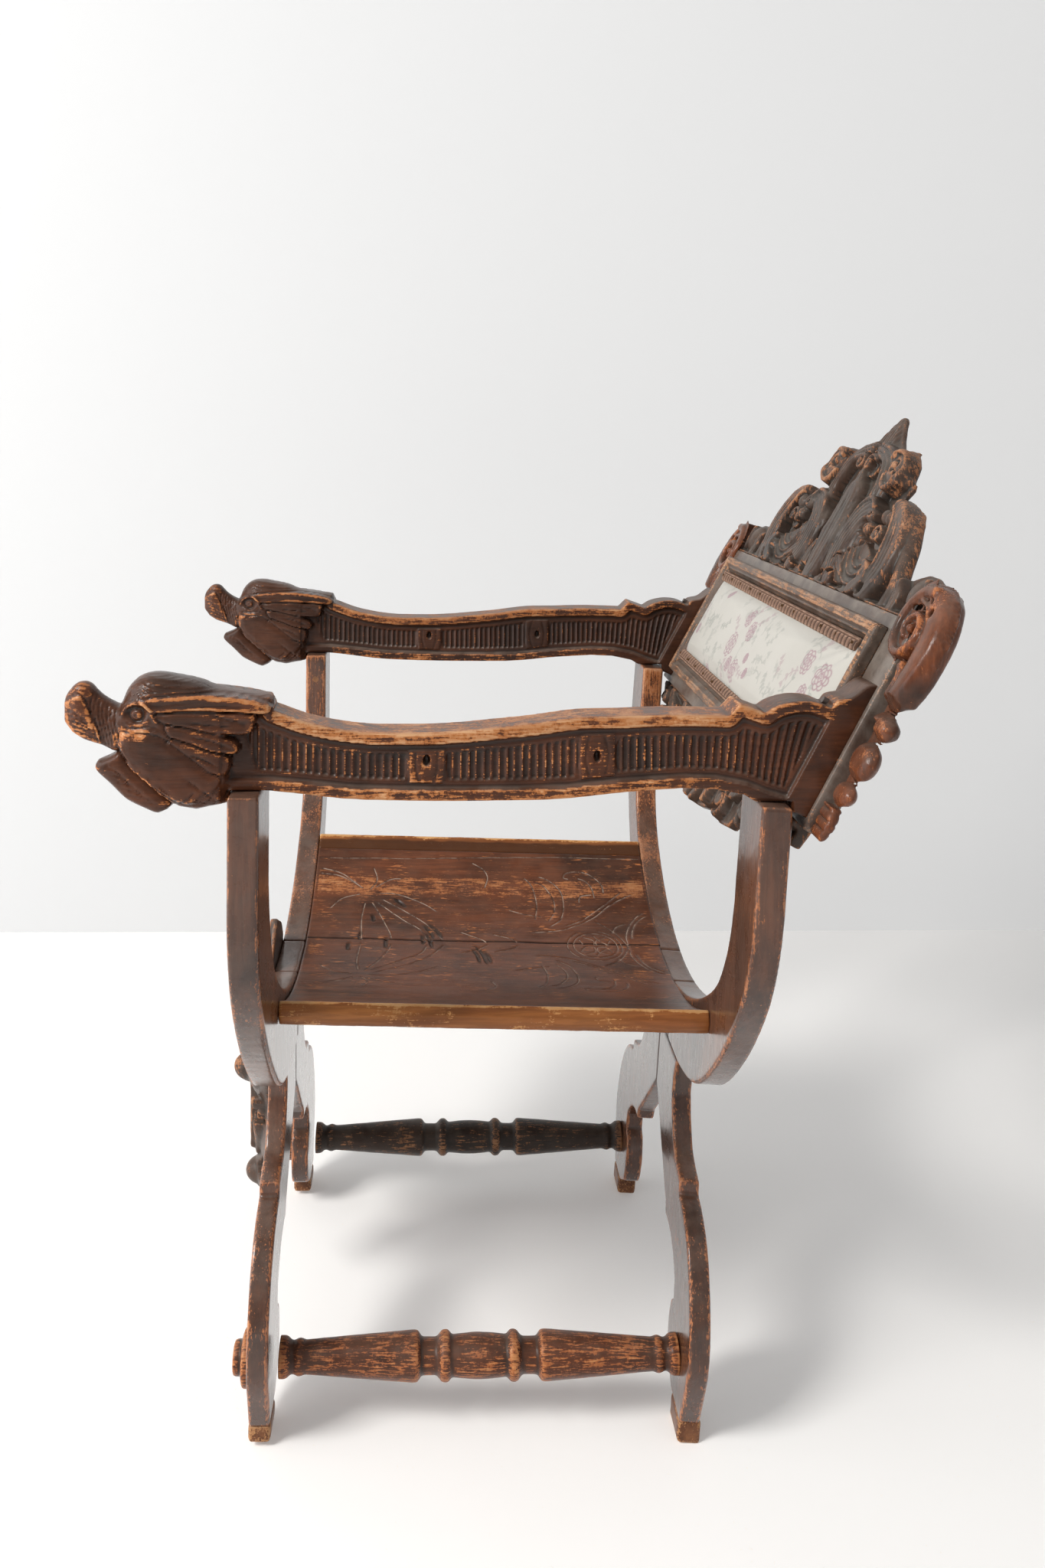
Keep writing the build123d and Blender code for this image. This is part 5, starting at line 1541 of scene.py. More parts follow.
seat = {
    "cell": 1.05,
    "radius": {"left": 466.0, "right": 350.0},     # it has sagged flatter on the sitter's left
    "frontLow": 368.0,
    "fall": 10.0,            # towards the back
    "line": 0.9,             # depth of the incised lines
    "thickness": 13.6,
}
seatMiddle = -41.0           # the ornament is drawn about the seam
seatLines = [[(-107.5, 123.5), (-97.5, 111), (-80, 99.7), (-60, 93.5), (-40, 93), (-17.5, 83.5),
    (-2.5, 71), (7.5, 58.5)], [(-101, 124), (-90, 111), (-74, 103), (-56, 99.5)],
    [(-135, 116), (-130, 103.5), (-115, 81), (-95, 61), (-80, 38.5), (-70, 18.5), (-65, -16.5)],
    [(-138, 100), (-124, 84), (-104, 62), (-88, 44), (-77, 24)],
    [(-132.5, 77), (-147.5, 76), (-161, 63.5), (-165, 48.5), (-162.5, 34.7), (-156, 31), (-154, 39.7)],
    [(-126, 65.5), (-142.5, 63.5), (-152.5, 56), (-156, 47)], [(-132.5, 63.5), (-129, 48.5), (-119, 46)],
    [(-157.5, -3), (-152.5, 11), (-137.5, 24.7), (-115, 27), (-90, 21), (-75, 6)],
    [(-149.5, -6.5), (-142.5, 6), (-122.5, 15.5), (-102.5, 14.7), (-85, 6)],
    [(-156, -19), (-142.5, -9), (-115, -5), (-87.5, -9)],
    [(-174, -81.5), (-166, -68), (-154, -62), (-137.5, -66.5)],
    [(-120, -191.5), (-97.5, -159), (-75, -134), (-45, -115)],
    [(-115, -196), (-85, -164), (-65, -141.5), (-45, -134)],
    [(-115, -201.5), (-90, -189), (-60, -177.7), (-45, -175)], [(-114, -208), (-85, -211), (-45, -209)],
    [(-132, -204), (-147, -196), (-165, -201)], [(-133, -211), (-155, -239), (-162.5, -266)],
    [(-140, -219), (-152, -242), (-155, -266)], [(-128, -198), (-126, -170), (-112, -140), (-98, -122)],
    [(-136, -198), (-148, -180), (-150, -166)], [(-126, -214), (-118, -236), (-100, -250)],
    [(-62, 55), (-50, 63), (-44, 72)], [(-85, 96), (-78, 84), (-66, 78)],
    [(-60, -60), (-52, -40), (-45, -32)], [(-64, -97), (-52, -76), (-43, -66)],
    [(-105, -40), (-98, -20), (-94, 0)],]
seatGouges = [[(-82, -137), (-62, -122), (-45, -116)], [(-79, -141), (-60, -130), (-44, -127)],
    [(-65, -138), (-48, -132), (-25, -128)], [(-60, -141), (-45, -139), (-34, -139)],
    [(-52, -181), (-36, -181), (-22, -180)], [(-62, -209), (-50, -211), (-40, -210)],
    [(-40, -86), (-22, -74), (14, -67)], [(-34, -85), (-12, -78), (10, -76)],
    [(-28, -72), (-10, -66), (8, -64)], [(-93, -200), (-84, -197), (-78, -199)],
    [(-38, -222), (-28, -223), (-18, -222)], [(-120, -176), (-112, -166), (-104, -158)]]
seatSmoke = [(-180, -255, 26, 0.5), (-176, 90, 34, 0.55), (-100, 96, 44, 0.45), (-170, -60, 22, 0.3),
             (10, 20, 40, 0.25), (60, -120, 60, 0.2)]     # where the stain lies darkest
seatRubs = [(-14, 114, 12), (-150, 119, 12), (26, 100, 16), (-20, -262, 16)]


def seatRadius(x):
    return np.where(x > 0, seat["radius"]["left"], seat["radius"]["right"])


def seatTop(x, y):
    # y in the drawing; the hollow is an arc across that falls a little to the back
    fall = np.clip((y + 271) * seat["fall"] / 398.0, 0, seat["fall"])
    radius = seatRadius(x)
    return seat["frontLow"] + radius - np.sqrt(radius ** 2 - x * x) - fall


def incise(field, points, width, depth, taper):
    # cuts a line and says how deep it went, point by point
    before = field.h.copy()
    groove(field, points, width, depth, taper)
    return before - field.h


def buildSeat():
    cell = seat["cell"]
    for side in ("left", "right"):
        low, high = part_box(f"seat_board_{side}")
        x0, x1 = low.x * 1000, high.x * 1000
        xs = np.linspace(x0, x1, int((x1 - x0) / cell))
        y0 = low.y * 1000 - yShift
        y1 = high.y * 1000 - yShift
        ys = np.arange(y0, y1, cell)
        gu, gv = np.meshgrid(xs, ys, indexing="ij")
        field = SimpleNamespace(u=xs, v=ys, gu=gu, gv=gv, step=cell, h=np.zeros(gu.shape))
        line = np.zeros(gu.shape)
        dark = np.zeros(gu.shape)
        for mirror in (1, -1):
            for points in seatLines:
                pts = smoothPath([(seatMiddle + mirror * (x - seatMiddle), y) for x, y in points], 3)
                if pts[:, 0].max() < x0 - 3 or pts[:, 0].min() > x1 + 3:
                    continue
                depth = incise(field, pts, 2.6, seat["line"], 0.06)
                line = np.maximum(line, depth / seat["line"] * (1.0 if mirror > 0 else 0.85))
        for points in seatGouges:
            dark = np.maximum(dark, np.clip(incise(field, smoothPath(points, 3), 6.4, 2.2, 0.4), 0, 1))
        cx, cy = seatMiddle + 0.5, 56.0
        rosette = [arcPath(cx, cy, 25, 0, 360, 60), arcPath(cx + 1, cy - 1, 31, -150, 170, 60)]
        for k in range(4):
            a = math.radians(45 + 90 * k)
            for bow in (-1, 1):
                mid = (cx + 12 * math.cos(a + bow * 0.62), cy + 12 * math.sin(a + bow * 0.62))
                tip = (cx + 22 * math.cos(a + bow * 0.16), cy + 22 * math.sin(a + bow * 0.16))
                rosette.append(smoothPath([(cx + 2 * math.cos(a), cy + 2 * math.sin(a)), mid, tip], 2))
        for pts in rosette:
            line = np.maximum(line, incise(field, pts, 2.4, seat["line"] * 0.9, 0.02) / seat["line"])
        border = smoothPath([(-184, 127), (-183, 0), (-178, -150), (-176, -268)], 20)
        for pts in (border, border * np.array([-1, 1])):
            line = np.maximum(line, incise(field, pts, 2.2, 0.8, 0.0) / 0.9)
        flat = np.stack([gu, gv, np.zeros_like(gu)], -1)
        relief = field.h + lumps(flat, 40, 31) * 0.5 + lumps(flat * np.array([1, 0.25, 1]), 9, 32) * 0.15
        edge = np.minimum.reduce([gu - x0, x1 - gu, gv - y0, y1 - gv])
        relief -= 1.2 * np.clip(1 - edge / 2.0, 0, 1) ** 2
        top = np.stack([gu, gv + yShift, seatTop(gu, gv)], -1)
        radius = seatRadius(gu)
        normal = np.stack([-gu / radius, np.zeros_like(gu), np.sqrt(1 - (gu / radius) ** 2)], -1)
        seam = x1 - gu if side == "right" else gu - x0
        dark = np.maximum(dark, smoothStep(2.3 - seam, 0, 1.2))
        dark = np.maximum(dark, 0.6 * smoothStep(2.4 - edge, 0, 2.0))
        for cx, cy, reach, share in seatSmoke:
            far = np.hypot(gu - cx, (gv - cy) * 0.6) / reach
            dark = np.maximum(dark, share * smoothStep(1.35 - far + 0.25 * lumps(flat, 26, 35), 0, 0.9))
        upper = top + normal * relief[..., None]
        lower = top - normal * seat["thickness"]
        verts = np.vstack([upper.reshape(-1, 3), lower.reshape(-1, 3)])
        faces = sheetFaces(*gu.shape)
        zero = np.zeros(gu.size)
        strip = smoothStep(gu, -156, -146) * smoothStep(-gu, 120, 132)
        bars = 0.5 + 0.5 * lumps(flat * np.array([1.0, 0.07, 1.0]), 3.2, 33)
        wearStrip = strip * (0.44 + 0.45 * bars) - 0.15 * smoothStep(-gu, 158, 172)
        wearStrip -= 1.1 * smoothStep(5.0 - edge, 0, 2.0)
        for cx, cy, reach in seatRubs:
            wearStrip += 0.5 * smoothStep(1.3 - np.hypot(gu - cx, gv - cy) / reach, 0, 0.8)
        wearStrip += 0.3 * smoothStep(-gv, 225, 250) * smoothStep(-gu, 60, 150) * smoothStep(gu, -175, -150)
        marks = {
            "line": np.concatenate([line.ravel(), zero]),
            "stain": np.concatenate([dark.ravel() * 0.85, zero]),
            "rub": np.concatenate([wearStrip.ravel() - 0.4 * line.ravel(), zero - 0.6]),
        }
        addPiece(f"seat_board_{side}_carved", verts, faces, seatWood,
            (f"seat_board_{side}",), marks, uneven=0.05)


rail = {
    "cell": 1.3,
    "rounding": 1.6,
    "inner": 189.0,          # where a rail starts, from the middle
    "stained": 13.0,         # how far the seat's stain runs out over it
}


def buildRails():
    for side in ("left", "right"):
        name = f"seat_rail_{side}"
        outline = outlineOf(name, np.zeros(3), np.array([0.0, 0, 1.0]), np.array([0.0, -1.0, 0.0]))[0]
        low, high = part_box(name)
        cell = rail["cell"]
        xs = np.arange(low.x * 1000 - 3, high.x * 1000 + 3, cell)
        zs = np.arange(outline[:, 1].min() - 3, outline[:, 1].max() + 3, cell)
        ys = np.arange(low.y * 1000 - 3, high.y * 1000 + 3, cell)
        gx, gz = np.meshgrid(xs, zs, indexing="ij")
        d = insideDistance(outline, gx, gz)
        middle, reach = (low.y + high.y) * 500, (high.y - low.y) * 500
        r = rail["rounding"]
        a = d[:, :, None] + r
        b = np.abs(ys - middle)[None, None, :] - reach + 0.2 + r
        f = rounded(a, b, r)
        grid, faces = surfaceNet(f, (xs[0], zs[0], ys[0]), cell)
        grid = relax(grid, faces, 1, 0.5)
        drop = (high.z - low.z) * 1000 - np.ptp(outline[:, 1])
        shift = -drop * np.clip((grid[:, 2] - low.y * 1000) / (high.y * 1000 - low.y * 1000), 0, 1)
        verts = np.stack([grid[:, 0], grid[:, 2], grid[:, 1] + shift], 1)
        fromInner = np.abs(grid[:, 0]) - rail["inner"]
        onTop = verts[:, 2] > seatTop(verts[:, 0], verts[:, 1] - yShift) - 2.5
        stain = 0.92 * smoothStep(rail["stained"] - fromInner + 1.5 * lumps(verts, 12, 41), 0, 3) * onTop
        bare = 0.75 * smoothStep(fromInner, 12.5, 15.5) * onTop - 0.5 * smoothStep(6.0 - fromInner, 0,
            3) * onTop
        addPiece(name + "_rounded", verts, faces[:, ::-1], railWood, (name,),
                 {"stain": stain, "rub": bare}, uneven=0.2)


# ---- carved cartouche on the front frame ----

cartouche = {"cell": 1.5}
cartoucheSide = [(0, 410), (14, 403), (32, 394), (45, 378), (50, 358), (62, 338), (74, 318), (74, 292),
    (66, 268), (56, 250), (46, 228), (43, 208), (40, 188), (36, 160), (28, 138), (16, 124), (0, 118)]


def buildCartouche():
    cell = cartouche["cell"]
    frontY = frontPlane[0][1]
    field = newField(-78, 78, 112, 416, cell)
    gu, gv = field.gu, field.gv
    side = np.array(cartoucheSide, float)
    outline = np.vstack([side, side[::-1] * np.array([-1.0, 1.0])])
    outside = insideDistance(outline, gu, gv)
    ridgeLine = np.interp(gv, [116, 122, 136, 150, 158, 170, 195, 215, 231, 236, 245, 254, 268, 300, 330,
        350, 366, 400, 412], [22, 30, 34, 32, 24, 26, 29, 29, 33, 41, 47, 47.4, 40, 31, 28, 20, 9, 8, 6])
    spread = np.interp(gv, [118, 150, 228, 268, 318, 358, 394], [30, 42, 48, 68, 76, 52, 34])
    across = np.clip(np.abs(gu) / spread, 0, 1)
    base = 4 + (ridgeLine - 4) * (1 - across ** 1.7)
    half = overlay(field, base * 0.72)
    for way in (-1, 1):
        leaf(half, [(0, 300), (way * 20, 330), (way * 34, 352), (way * 30, 384)], (20, 24, 8), 4, 14, 3.6,
            1.3)
        leaf(half, [(0, 250), (way * 28, 276), (way * 52, 300), (way * 64, 316)], (20, 26, 10), 6, 18,
            3.8, 1.5)
        leaf(half, [(0, 226), (way * 20, 240), (way * 44, 262), (way * 58, 286)], (16, 20, 8), 5, 18, 3.6,
            1.4)
        leaf(half, [(0, 160), (way * 14, 186), (way * 26, 210), (way * 38, 232)], (16, 22, 10), 5, 18,
            3.4, 1.4)
        scroll(half, way * 58, 306, 12, 4, 90 - way * 60, 1.3, 8, 9, 7, way)
        scroll(half, way * 30, 214, 9, 3, 90 - way * 60, 1.2, 12, 8, 6, way)
        scroll(half, way * 26, 150, 9, 3, 90 + way * 60, 1.2, 8, 8, 6, -way)
    leaf(half, [(0, 340), (0, 370), (0, 408)], (26, 30, 8), 3, 6, 4.0, 1.0)
    leaf(half, [(0, 330), (0, 300), (0, 268)], (14, 22, 22), 14, 16, 4.0, 1.4)
    leaf(half, [(0, 232), (0, 205), (0, 165)], (20, 24, 12), 12, 17, 3.6, 1.3)
    knob(half, 0, 250, 17, 22, 25.3)
    knob(half, 0, 136, 15, 14, 20)
    for k in range(8):
        a = math.radians(k * 45 + 22)
        groove(half, [(7 * math.cos(a), 250 + 7 * math.sin(a)),
            (15 * math.cos(a), 250 + 15 * math.sin(a))], 2.4, 1.6, 0.2)
    top = np.clip(half.h, 2.5, 47.6)
    grid, faces = reliefNet(field, outside, top, np.full(top.shape, 0.0), 2.4, 0, 48)
    verts = np.stack([grid[:, 0], frontY - grid[:, 2], grid[:, 1]], 1)
    rub = 0.3 * smoothStep(grid[:, 2], 18, 40)
    addPiece("front_cartouche_carved", verts, faces, carvedOak, ("front_cartouche",),
        {"rub": rub}, uneven=0.18)


# ---- stuffed panel and its braid ----

pad = {
    "voxel": 0.0042,
    "crown": 9.0,            # rise of the middle before it swells
    "pressure": 4.0,
    "cap": 5.0,              # furthest a point may swell, millimetres
}


def rose(strokes, x, s, radius, turn=0.0, petals=6):
    # outlines of a full-blown rose: rings of scalloped petals round a curled heart
    for ring, (r, count) in enumerate(((0.36, 4), (0.68, petals), (1.0, petals + 2))):
        for k in range(count):
            a = turn + math.tau * (k + 0.5 * ring) / count
            spread = math.tau / count * 0.62
            line = []
            for q in np.linspace(-1, 1, 9):
                reach = radius * r * (1 - 0.34 * abs(q) ** 2.4)
                line.append((x + reach * math.cos(a + q * spread), s + reach * math.sin(a + q * spread)))
            strokes["bloom"].append((np.array(line), 1.0 + 0.3 * r, 0.95))
    strokes["bloom"].append((spiralPath(x, s, radius * 0.28, 1.0, turn, 1.3, 20), 1.0, 0.9))
    strokes["wash"].append((x, s, radius * 1.02, 0.09))


def sprig(strokes, x, s, angle, length, leaves, kind="leafy", size=5.0, strength=0.55):
    # a bent stem with pairs of small leaves
    a = math.radians(angle)
    bend = 0.35
    stem = []
    for q in np.linspace(0, 1, 12):
        turn = a + bend * (q - 0.5) * 2
        stem.append((x + length * q * math.cos(turn), s + length * q * math.sin(turn)))
    stem = np.array(stem)
    strokes[kind].append((stem, 1.2, strength))
    for k in range(leaves):
        q = (k + 0.7) / leaves
        j = min(int(q * 11), 10)
        base = stem[j]
        way = math.atan2(*(stem[j + 1] - stem[j])[::-1])
        for side in (-1, 1):
            b = way + side * 0.85
            tip = base + size * np.array([math.cos(b), math.sin(b)])
            bow = base + 0.5 * size * np.array([math.cos(b + side * 0.5), math.sin(b + side * 0.5)])
            under = base + 0.5 * size * np.array([math.cos(b - side * 0.5), math.sin(b - side * 0.5)])
            strokes[kind].append((np.array([base, bow, tip, under, base]), 1.3, strength * 0.9))


def padPattern():
    strokes = {"bloom": [], "leafy": [], "wash": []}
    flowers = (
        (-62, -46, 15, 0.2), (-45, -9, 11, 1.0), (-17, -21, 12, 2.1), (-14, -69, 13, 0.7), (11, -49, 6, 0.0),
        (31, -63, 6, 1.3), (-38, -66, 9, 0.4), (183, -16, 13, 0.5), (228, -21, 14, 1.4), (206, -46, 11, 0.1),
        (238, -56, 12, 2.0), (196, -74, 9, 0.9), (-259, -83, 13, 0.6), (-222, -54, 7, 0.0), (-168, 4, 6, 0.8),
        (148, -78, 7, 0.4), (-128, -92, 9, 1.1))
    for x, s, radius, turn in flowers:
        rose(strokes, x, s, radius, turn)
    for x, s, angle, length, leaves in (
            (-70, -32, 120, 26, 3), (-35, 0, 70, 20, 3), (-52, -62, 250, 30, 4), (0, -60, 330, 30, 4),
            (-8, -10, 30, 28, 3), (172, -28, 200, 34, 4), (196, -2, 80, 18, 3), (222, -66, 260, 26, 3),
            (120, -44, 90, 22, 3), (-222, -44, 80, 24, 3), (-250, -70, 60, 20, 2)):
        sprig(strokes, x, s, angle, length, leaves, "bloom", 5.5, 0.6)
    rng = np.random.default_rng(5)
    for k in range(64):
        x = -252 + 504 * ((k * 0.6180339) % 1.0)
        s = -88 + 108 * ((k * 0.7548777) % 1.0)
        sprig(strokes, x, s, float(rng.uniform(0, 360)), float(rng.uniform(14, 34)), int(rng.integers(2, 5)),
              "leafy", float(rng.uniform(4.0, 7.0)), float(rng.uniform(0.35, 0.75)))
    return strokes


def clothMaterial():
    material, t, shader = newMaterial("floralSatin")
    place = t.place()
    bloom = t.mark("bloom")
    leafy = t.mark("leafy")
    weave = placeGroup(t, groups["weave"], {"Place": place})
    base = t.mix(t.noise(place, 14.0, 3.0), colour(0.44, 0.42, 0.375), colour(0.52, 0.50, 0.455))
    base = t.mix(t.times(leafy, 0.85), base, colour(0.22, 0.23, 0.205))
    broken = t.plus(t.times(weave["Thread"], 0.5), 0.55)
    base = t.mix(t.times(bloom, broken, clamp=True), base, colour(0.27, 0.13, 0.17))
    base = t.mix(t.times(weave["Thread"], 0.10), base, colour(0.36, 0.345, 0.31))
    t.feed(shader, "Base Color", base)
    setSockets(shader, {"Roughness": 0.55, "Specular IOR Level": 0.35, "Sheen Weight": 0.15})
    bump = t.add("ShaderNodeBump", Height=weave["Thread"], Strength=0.35, Distance=0.0003)
    t.feed(shader, "Normal", bump.outputs[0])
    return material


def buildPad():
    low, high = backExtent("back_pad")
    deep = low[2]
    x0, x1 = low[0] + 1.0, high[0] - 1.0
    s0, s1 = low[1] + 1.0, high[1] - 1.0
    rise = high[2] - deep
    # closed start shape: flat behind, crowned in front
    xs = np.linspace(x0, x1, 90)
    ss = np.linspace(s0, s1, 26)
    gx, gs = np.meshgrid(xs, ss, indexing="ij")
    ax = np.minimum(gx - x0, x1 - gx) / 26.0
    ay = np.minimum(gs - s0, s1 - gs) / 34.0
    crown = dome(ax) * dome(ay)
    front = deep + 3.2 + (min(pad["crown"], rise - 4.2)) * crown
    top = np.stack([gx, gs, front], -1).reshape(-1, 3)
    under = np.stack([gx, gs, np.full(gx.shape, deep + 0.1)], -1).reshape(-1, 3)
    obj = meshPiece("back_pad_stuffed", onBack(np.vstack([top, under])), sheetFaces(*gx.shape))
    scene = bpy.context.scene
    view = bpy.context.view_layer
    view.objects.active = obj
    remesh = obj.modifiers.new("voxels", "REMESH")
    remesh.mode = "VOXEL"
    remesh.voxel_size = pad["voxel"]
    bake(obj)
    start = meshPoints(obj.data)
    local = fromBack(start)
    held = obj.vertex_groups.new(name="held")
    edge = np.minimum.reduce([local[:, 0] - x0, x1 - local[:, 0], local[:, 1] - s0, s1 - local[:, 1]])
    for k in np.nonzero((local[:, 2] < deep + 2.0) | (edge < 2.5))[0]:
        held.add([int(k)], 1.0, "REPLACE")
    cloth = obj.modifiers.new("stuffing", "CLOTH")
    settings = cloth.settings
    settings.quality = 5
    settings.use_pressure = True
    settings.uniform_pressure_force = pad["pressure"]
    settings.effector_weights.gravity = 0
    settings.tension_stiffness = 18
    settings.compression_stiffness = 6
    settings.bending_stiffness = 0.4
    settings.vertex_group_mass = "held"
    for step in range(1, 21):
        scene.frame_set(step)
    bake(obj)
    scene.frame_set(1)
    obj.vertex_groups.clear()
    moved = fromBack(meshPoints(obj.data)) - local
    far = np.linalg.norm(moved, axis=1)
    moved *= np.minimum(1, pad["cap"] / np.maximum(far, 1e-6))[:, None]
    local = local + moved
    print("pad swelled by up to", round(float(far.max()), 1))
    # soft pulls along the tacked edges, then kept inside its own room
    pull = 0.5 * np.sin(local[:, 0] / 21.0 + 0.6) * np.exp(-np.abs(local[:, 1] - s1 + 12) / 14.0)
    pull += 0.5 * np.sin(local[:, 0] / 26.0) * np.exp(-np.abs(local[:, 1] - s0 - 12) / 14.0)
    local[:, 2] += pull * (local[:, 2] > deep + 3)
    for name, way in (("back_gimp_top", 1), ("back_gimp_bottom", -1)):
        braidLow, braidHigh = backExtent(name)
        clear = (braidLow[1] - local[:, 1]) if way > 0 else (local[:, 1] - braidHigh[1])
        ceiling = braidLow[2] - 1.3 + 0.6 * np.maximum(0, clear + 1.5)
        local[:, 2] = np.minimum(local[:, 2], ceiling)
    local = np.clip(local, low + [0.3, 0.3, 0.05], high - [0.3, 0.3, 0.2])
    obj.data.vertices.foreach_set("co", (onBack(local) / 1000).astype(np.float32).ravel())
    obj.data.update()
    smooth = obj.modifiers.new("finer", "SUBSURF")
    smooth.levels = 2
    smooth.render_levels = 2
    bake(obj)
    local = fromBack(meshPoints(obj.data))
    strokes = padPattern()
    marks = {"bloom": np.zeros(len(local)), "leafy": np.zeros(len(local))}
    facing = local[:, 2] > deep + 2.5
    for kind in marks:
        for line, width, strength in strokes[kind]:
            lo, hi = line.min(0) - width, line.max(0) + width
            near = np.nonzero(facing & (local[:, 0] > lo[0]) & (local[:, 0] < hi[0]) & (local[:, 1] > lo[1])
                              & (local[:, 1] < hi[1]))[0]
            if not len(near):
                continue
            dist = pathDistance(line, local[near, 0], local[near, 1])[0]
            value = strength * smoothStep(width - dist, 0, width * 0.7)
            marks[kind][near] = np.maximum(marks[kind][near], value)
    for x, s, radius, strength in strokes["wash"]:
        dist = np.hypot(local[:, 0] - x, local[:, 1] - s)
        marks["bloom"] = np.maximum(marks["bloom"],
            facing * strength * smoothStep(radius - dist, 0, radius * 0.4))
    for key, value in marks.items():
        layer = obj.data.attributes.new(key, "FLOAT", "POINT")
        layer.data.foreach_set("value", value.astype(np.float32))
    obj.data.materials.append(clothMaterial())
    obj.data.polygons.foreach_set("use_smooth", np.ones(len(obj.data.polygons), bool))
    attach(obj, "root")
    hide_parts("back_pad")
    print("made", obj.name, len(obj.data.polygons), "faces")


def bake(obj):
    # applies every modifier
    graph = bpy.context.evaluated_depsgraph_get()
    graph.update()
    mesh = bpy.data.meshes.new_from_object(obj.evaluated_get(graph), depsgraph=graph)
    old = obj.data
    obj.modifiers.clear()
    obj.data = mesh
    bpy.data.meshes.remove(old)


braid = {
    "cell": 0.9,
    "pitch": 10.3,       # from one loop to the next
}


def buildBraid():
    cell = braid["cell"]
    for name, way in (("back_gimp_top", 1), ("back_gimp_bottom", -1)):
        low, high = backExtent(name)
        field = newField(low[0] - 2, high[0] + 2, low[1] - 2, high[1] + 2, cell)
        gu, gv = field.gu, field.gv
        span = high[1] - low[1]
        inner = (high[1] - gv) if way > 0 else (gv - low[1])
        # inner runs from the outer edge (0) to the scalloped edge (span)
        slant = gu + inner * 0.12 * way
        phase = slant / braid["pitch"]
        wave = np.abs(np.cos(math.pi * phase))
        thick = high[2] - low[2]
        loops = 0.10 * thick + 0.86 * thick * wave ** 0.8
        loops -= 0.2 * (0.5 + 0.5 * np.cos(math.tau * slant / (braid["pitch"] / 3))) * (wave > 0.3)
        bend = 1 - 0.25 * (inner / span - 0.45) ** 2 * 4
        top = loops * bend
        head = np.exp(-((inner - 2.0) / 1.3) ** 2)
        twist = 0.5 + 0.5 * np.cos(math.tau * (gu - inner * 1.2) / 2.6)
        top = np.where(inner < 3.6, 0.35 * thick + head * (0.35 + 0.25 * twist) * thick, top)
        reach = span - 4.8 * (1 - wave) ** 0.8
        edge = np.maximum.reduce([inner - reach, -inner, low[0] - gu, gu - high[0]])
        bottom = np.full(gu.shape, low[2] + 0.02)
        surface = np.minimum(low[2] + np.maximum(top, 0.7), high[2] - 0.05)
        grid, faces = reliefNet(field, edge, surface, bottom, 0.7, low[2], high[2])
        # how high each loop stands; the braid's material paints shade where it is low
        marks = {"cord": pickField(field, np.where(inner < 3.6, 1.0, wave), grid)}
        addPiece(name + "_cords", onBack(grid), faces, braidMaterial, (name,), marks,
            uneven=0.05, fineRounds=4)


def cordMaterial():
    material, t, shader = newMaterial("gimpCord")
    place = t.place()
    edge = t.mark("edge")
    weave = placeGroup(t, groups["weave"], {"Place": place})
    base = t.mix(t.noise(place, 60.0, 3.0), colour(0.13, 0.070, 0.045), colour(0.20, 0.115, 0.078))
    # paler on what stands out: painted highlight
    base = t.mix(t.band(edge, 0.02, 0.35), base, colour(0.36, 0.23, 0.165))
    # darker in the hollows: painted shade
    base = t.mix(t.band(t.times(edge, -1.0), 0.05, 0.3), base, colour(0.022, 0.011, 0.008))
    # darker between the loops, where the cord mark is low: painted shade
    cord = t.mark("cord")
    base = t.mix(t.band(cord, 0.35, 0.90, 0.94, 0.0), base, colour(0.018, 0.009, 0.006))
    base = t.mix(t.times(weave["Thread"], 0.2), base, colour(0.10, 0.05, 0.035))
    t.feed(shader, "Base Color", base)
    setSockets(shader, {"Roughness": 0.7, "Specular IOR Level": 0.25})
    bump = t.add("ShaderNodeBump", Height=weave["Thread"], Strength=0.3, Distance=0.0002)
    t.feed(shader, "Normal", bump.outputs[0])
    return material


def metalMaterial(name, tint, dull, roughness):
    material, t, shader = newMaterial(name)
    place = t.place()
    cloud = t.noise(place, 300.0, 3.0)
    t.feed(shader, "Base Color", t.mix(cloud, colour(*tint), colour(*dull)))
    t.feed(shader, "Metallic", t.minus(1.0, t.times(cloud, 0.5)))
    shader.inputs["Roughness"].default_value = roughness
    return material


braidMaterial = cordMaterial()
keptNodes = {"arm_pegs": woodMaterial("pegWood", along["x"], (0.16, 0.07, 0.03), (0.34, 0.17, 0.08),
    (0.24, 0.1, 0.04), (0.5, 0.28, 0.13), (0.6, 0.38, 0.2), dust=0.1, worms=0.0),
    "arm_dowels": woodMaterial("dowelWood", along["z"], (0.30, 0.17, 0.08), (0.45, 0.28, 0.14),
    (0.38, 0.22, 0.1), (0.55, 0.36, 0.2), (0.6, 0.42, 0.25), dust=0.05, worms=0.0),
    "back_screws": metalMaterial("agedIron", (0.20, 0.18, 0.17), (0.10, 0.07, 0.055), 0.5),
    "gimp_nails": metalMaterial("agedBrass", (0.26, 0.15, 0.08), (0.14, 0.075, 0.04), 0.5),}
keptNodes["frame_dowels"] = keptNodes["arm_dowels"]


def finishKept():
    # nodes that stay as they are get their finish
    for name, material in keptNodes.items():
        mesh = frame["nodes"][name].data
        if not len(mesh.materials):
            mesh.materials.append(material)
        for k in range(len(mesh.materials)):
            mesh.materials[k] = material


buildCrest()
buildWings()
buildApron()
buildMoulding()
# thinned behind, so that the screws' heads stand proud of it
sawnBoard("back_board", boardOak, "back_wood", boardOrigin, boardUp, boardOut, edgeRound=1.6, worn=0.6)
buildTurned()
buildSeat()
buildRails()
buildCartouche()
buildPad()
buildBraid()
finishKept()


# ---- room, light and camera ----

camera = {
    "place": (1.35519, -0.10678, 0.9511),
    "yaw": 0.0195, "pitch": -0.0061, "roll": 0.0059,
    "lens": 28.48, "shiftX": 0.0404, "shiftY": -0.2246,
}


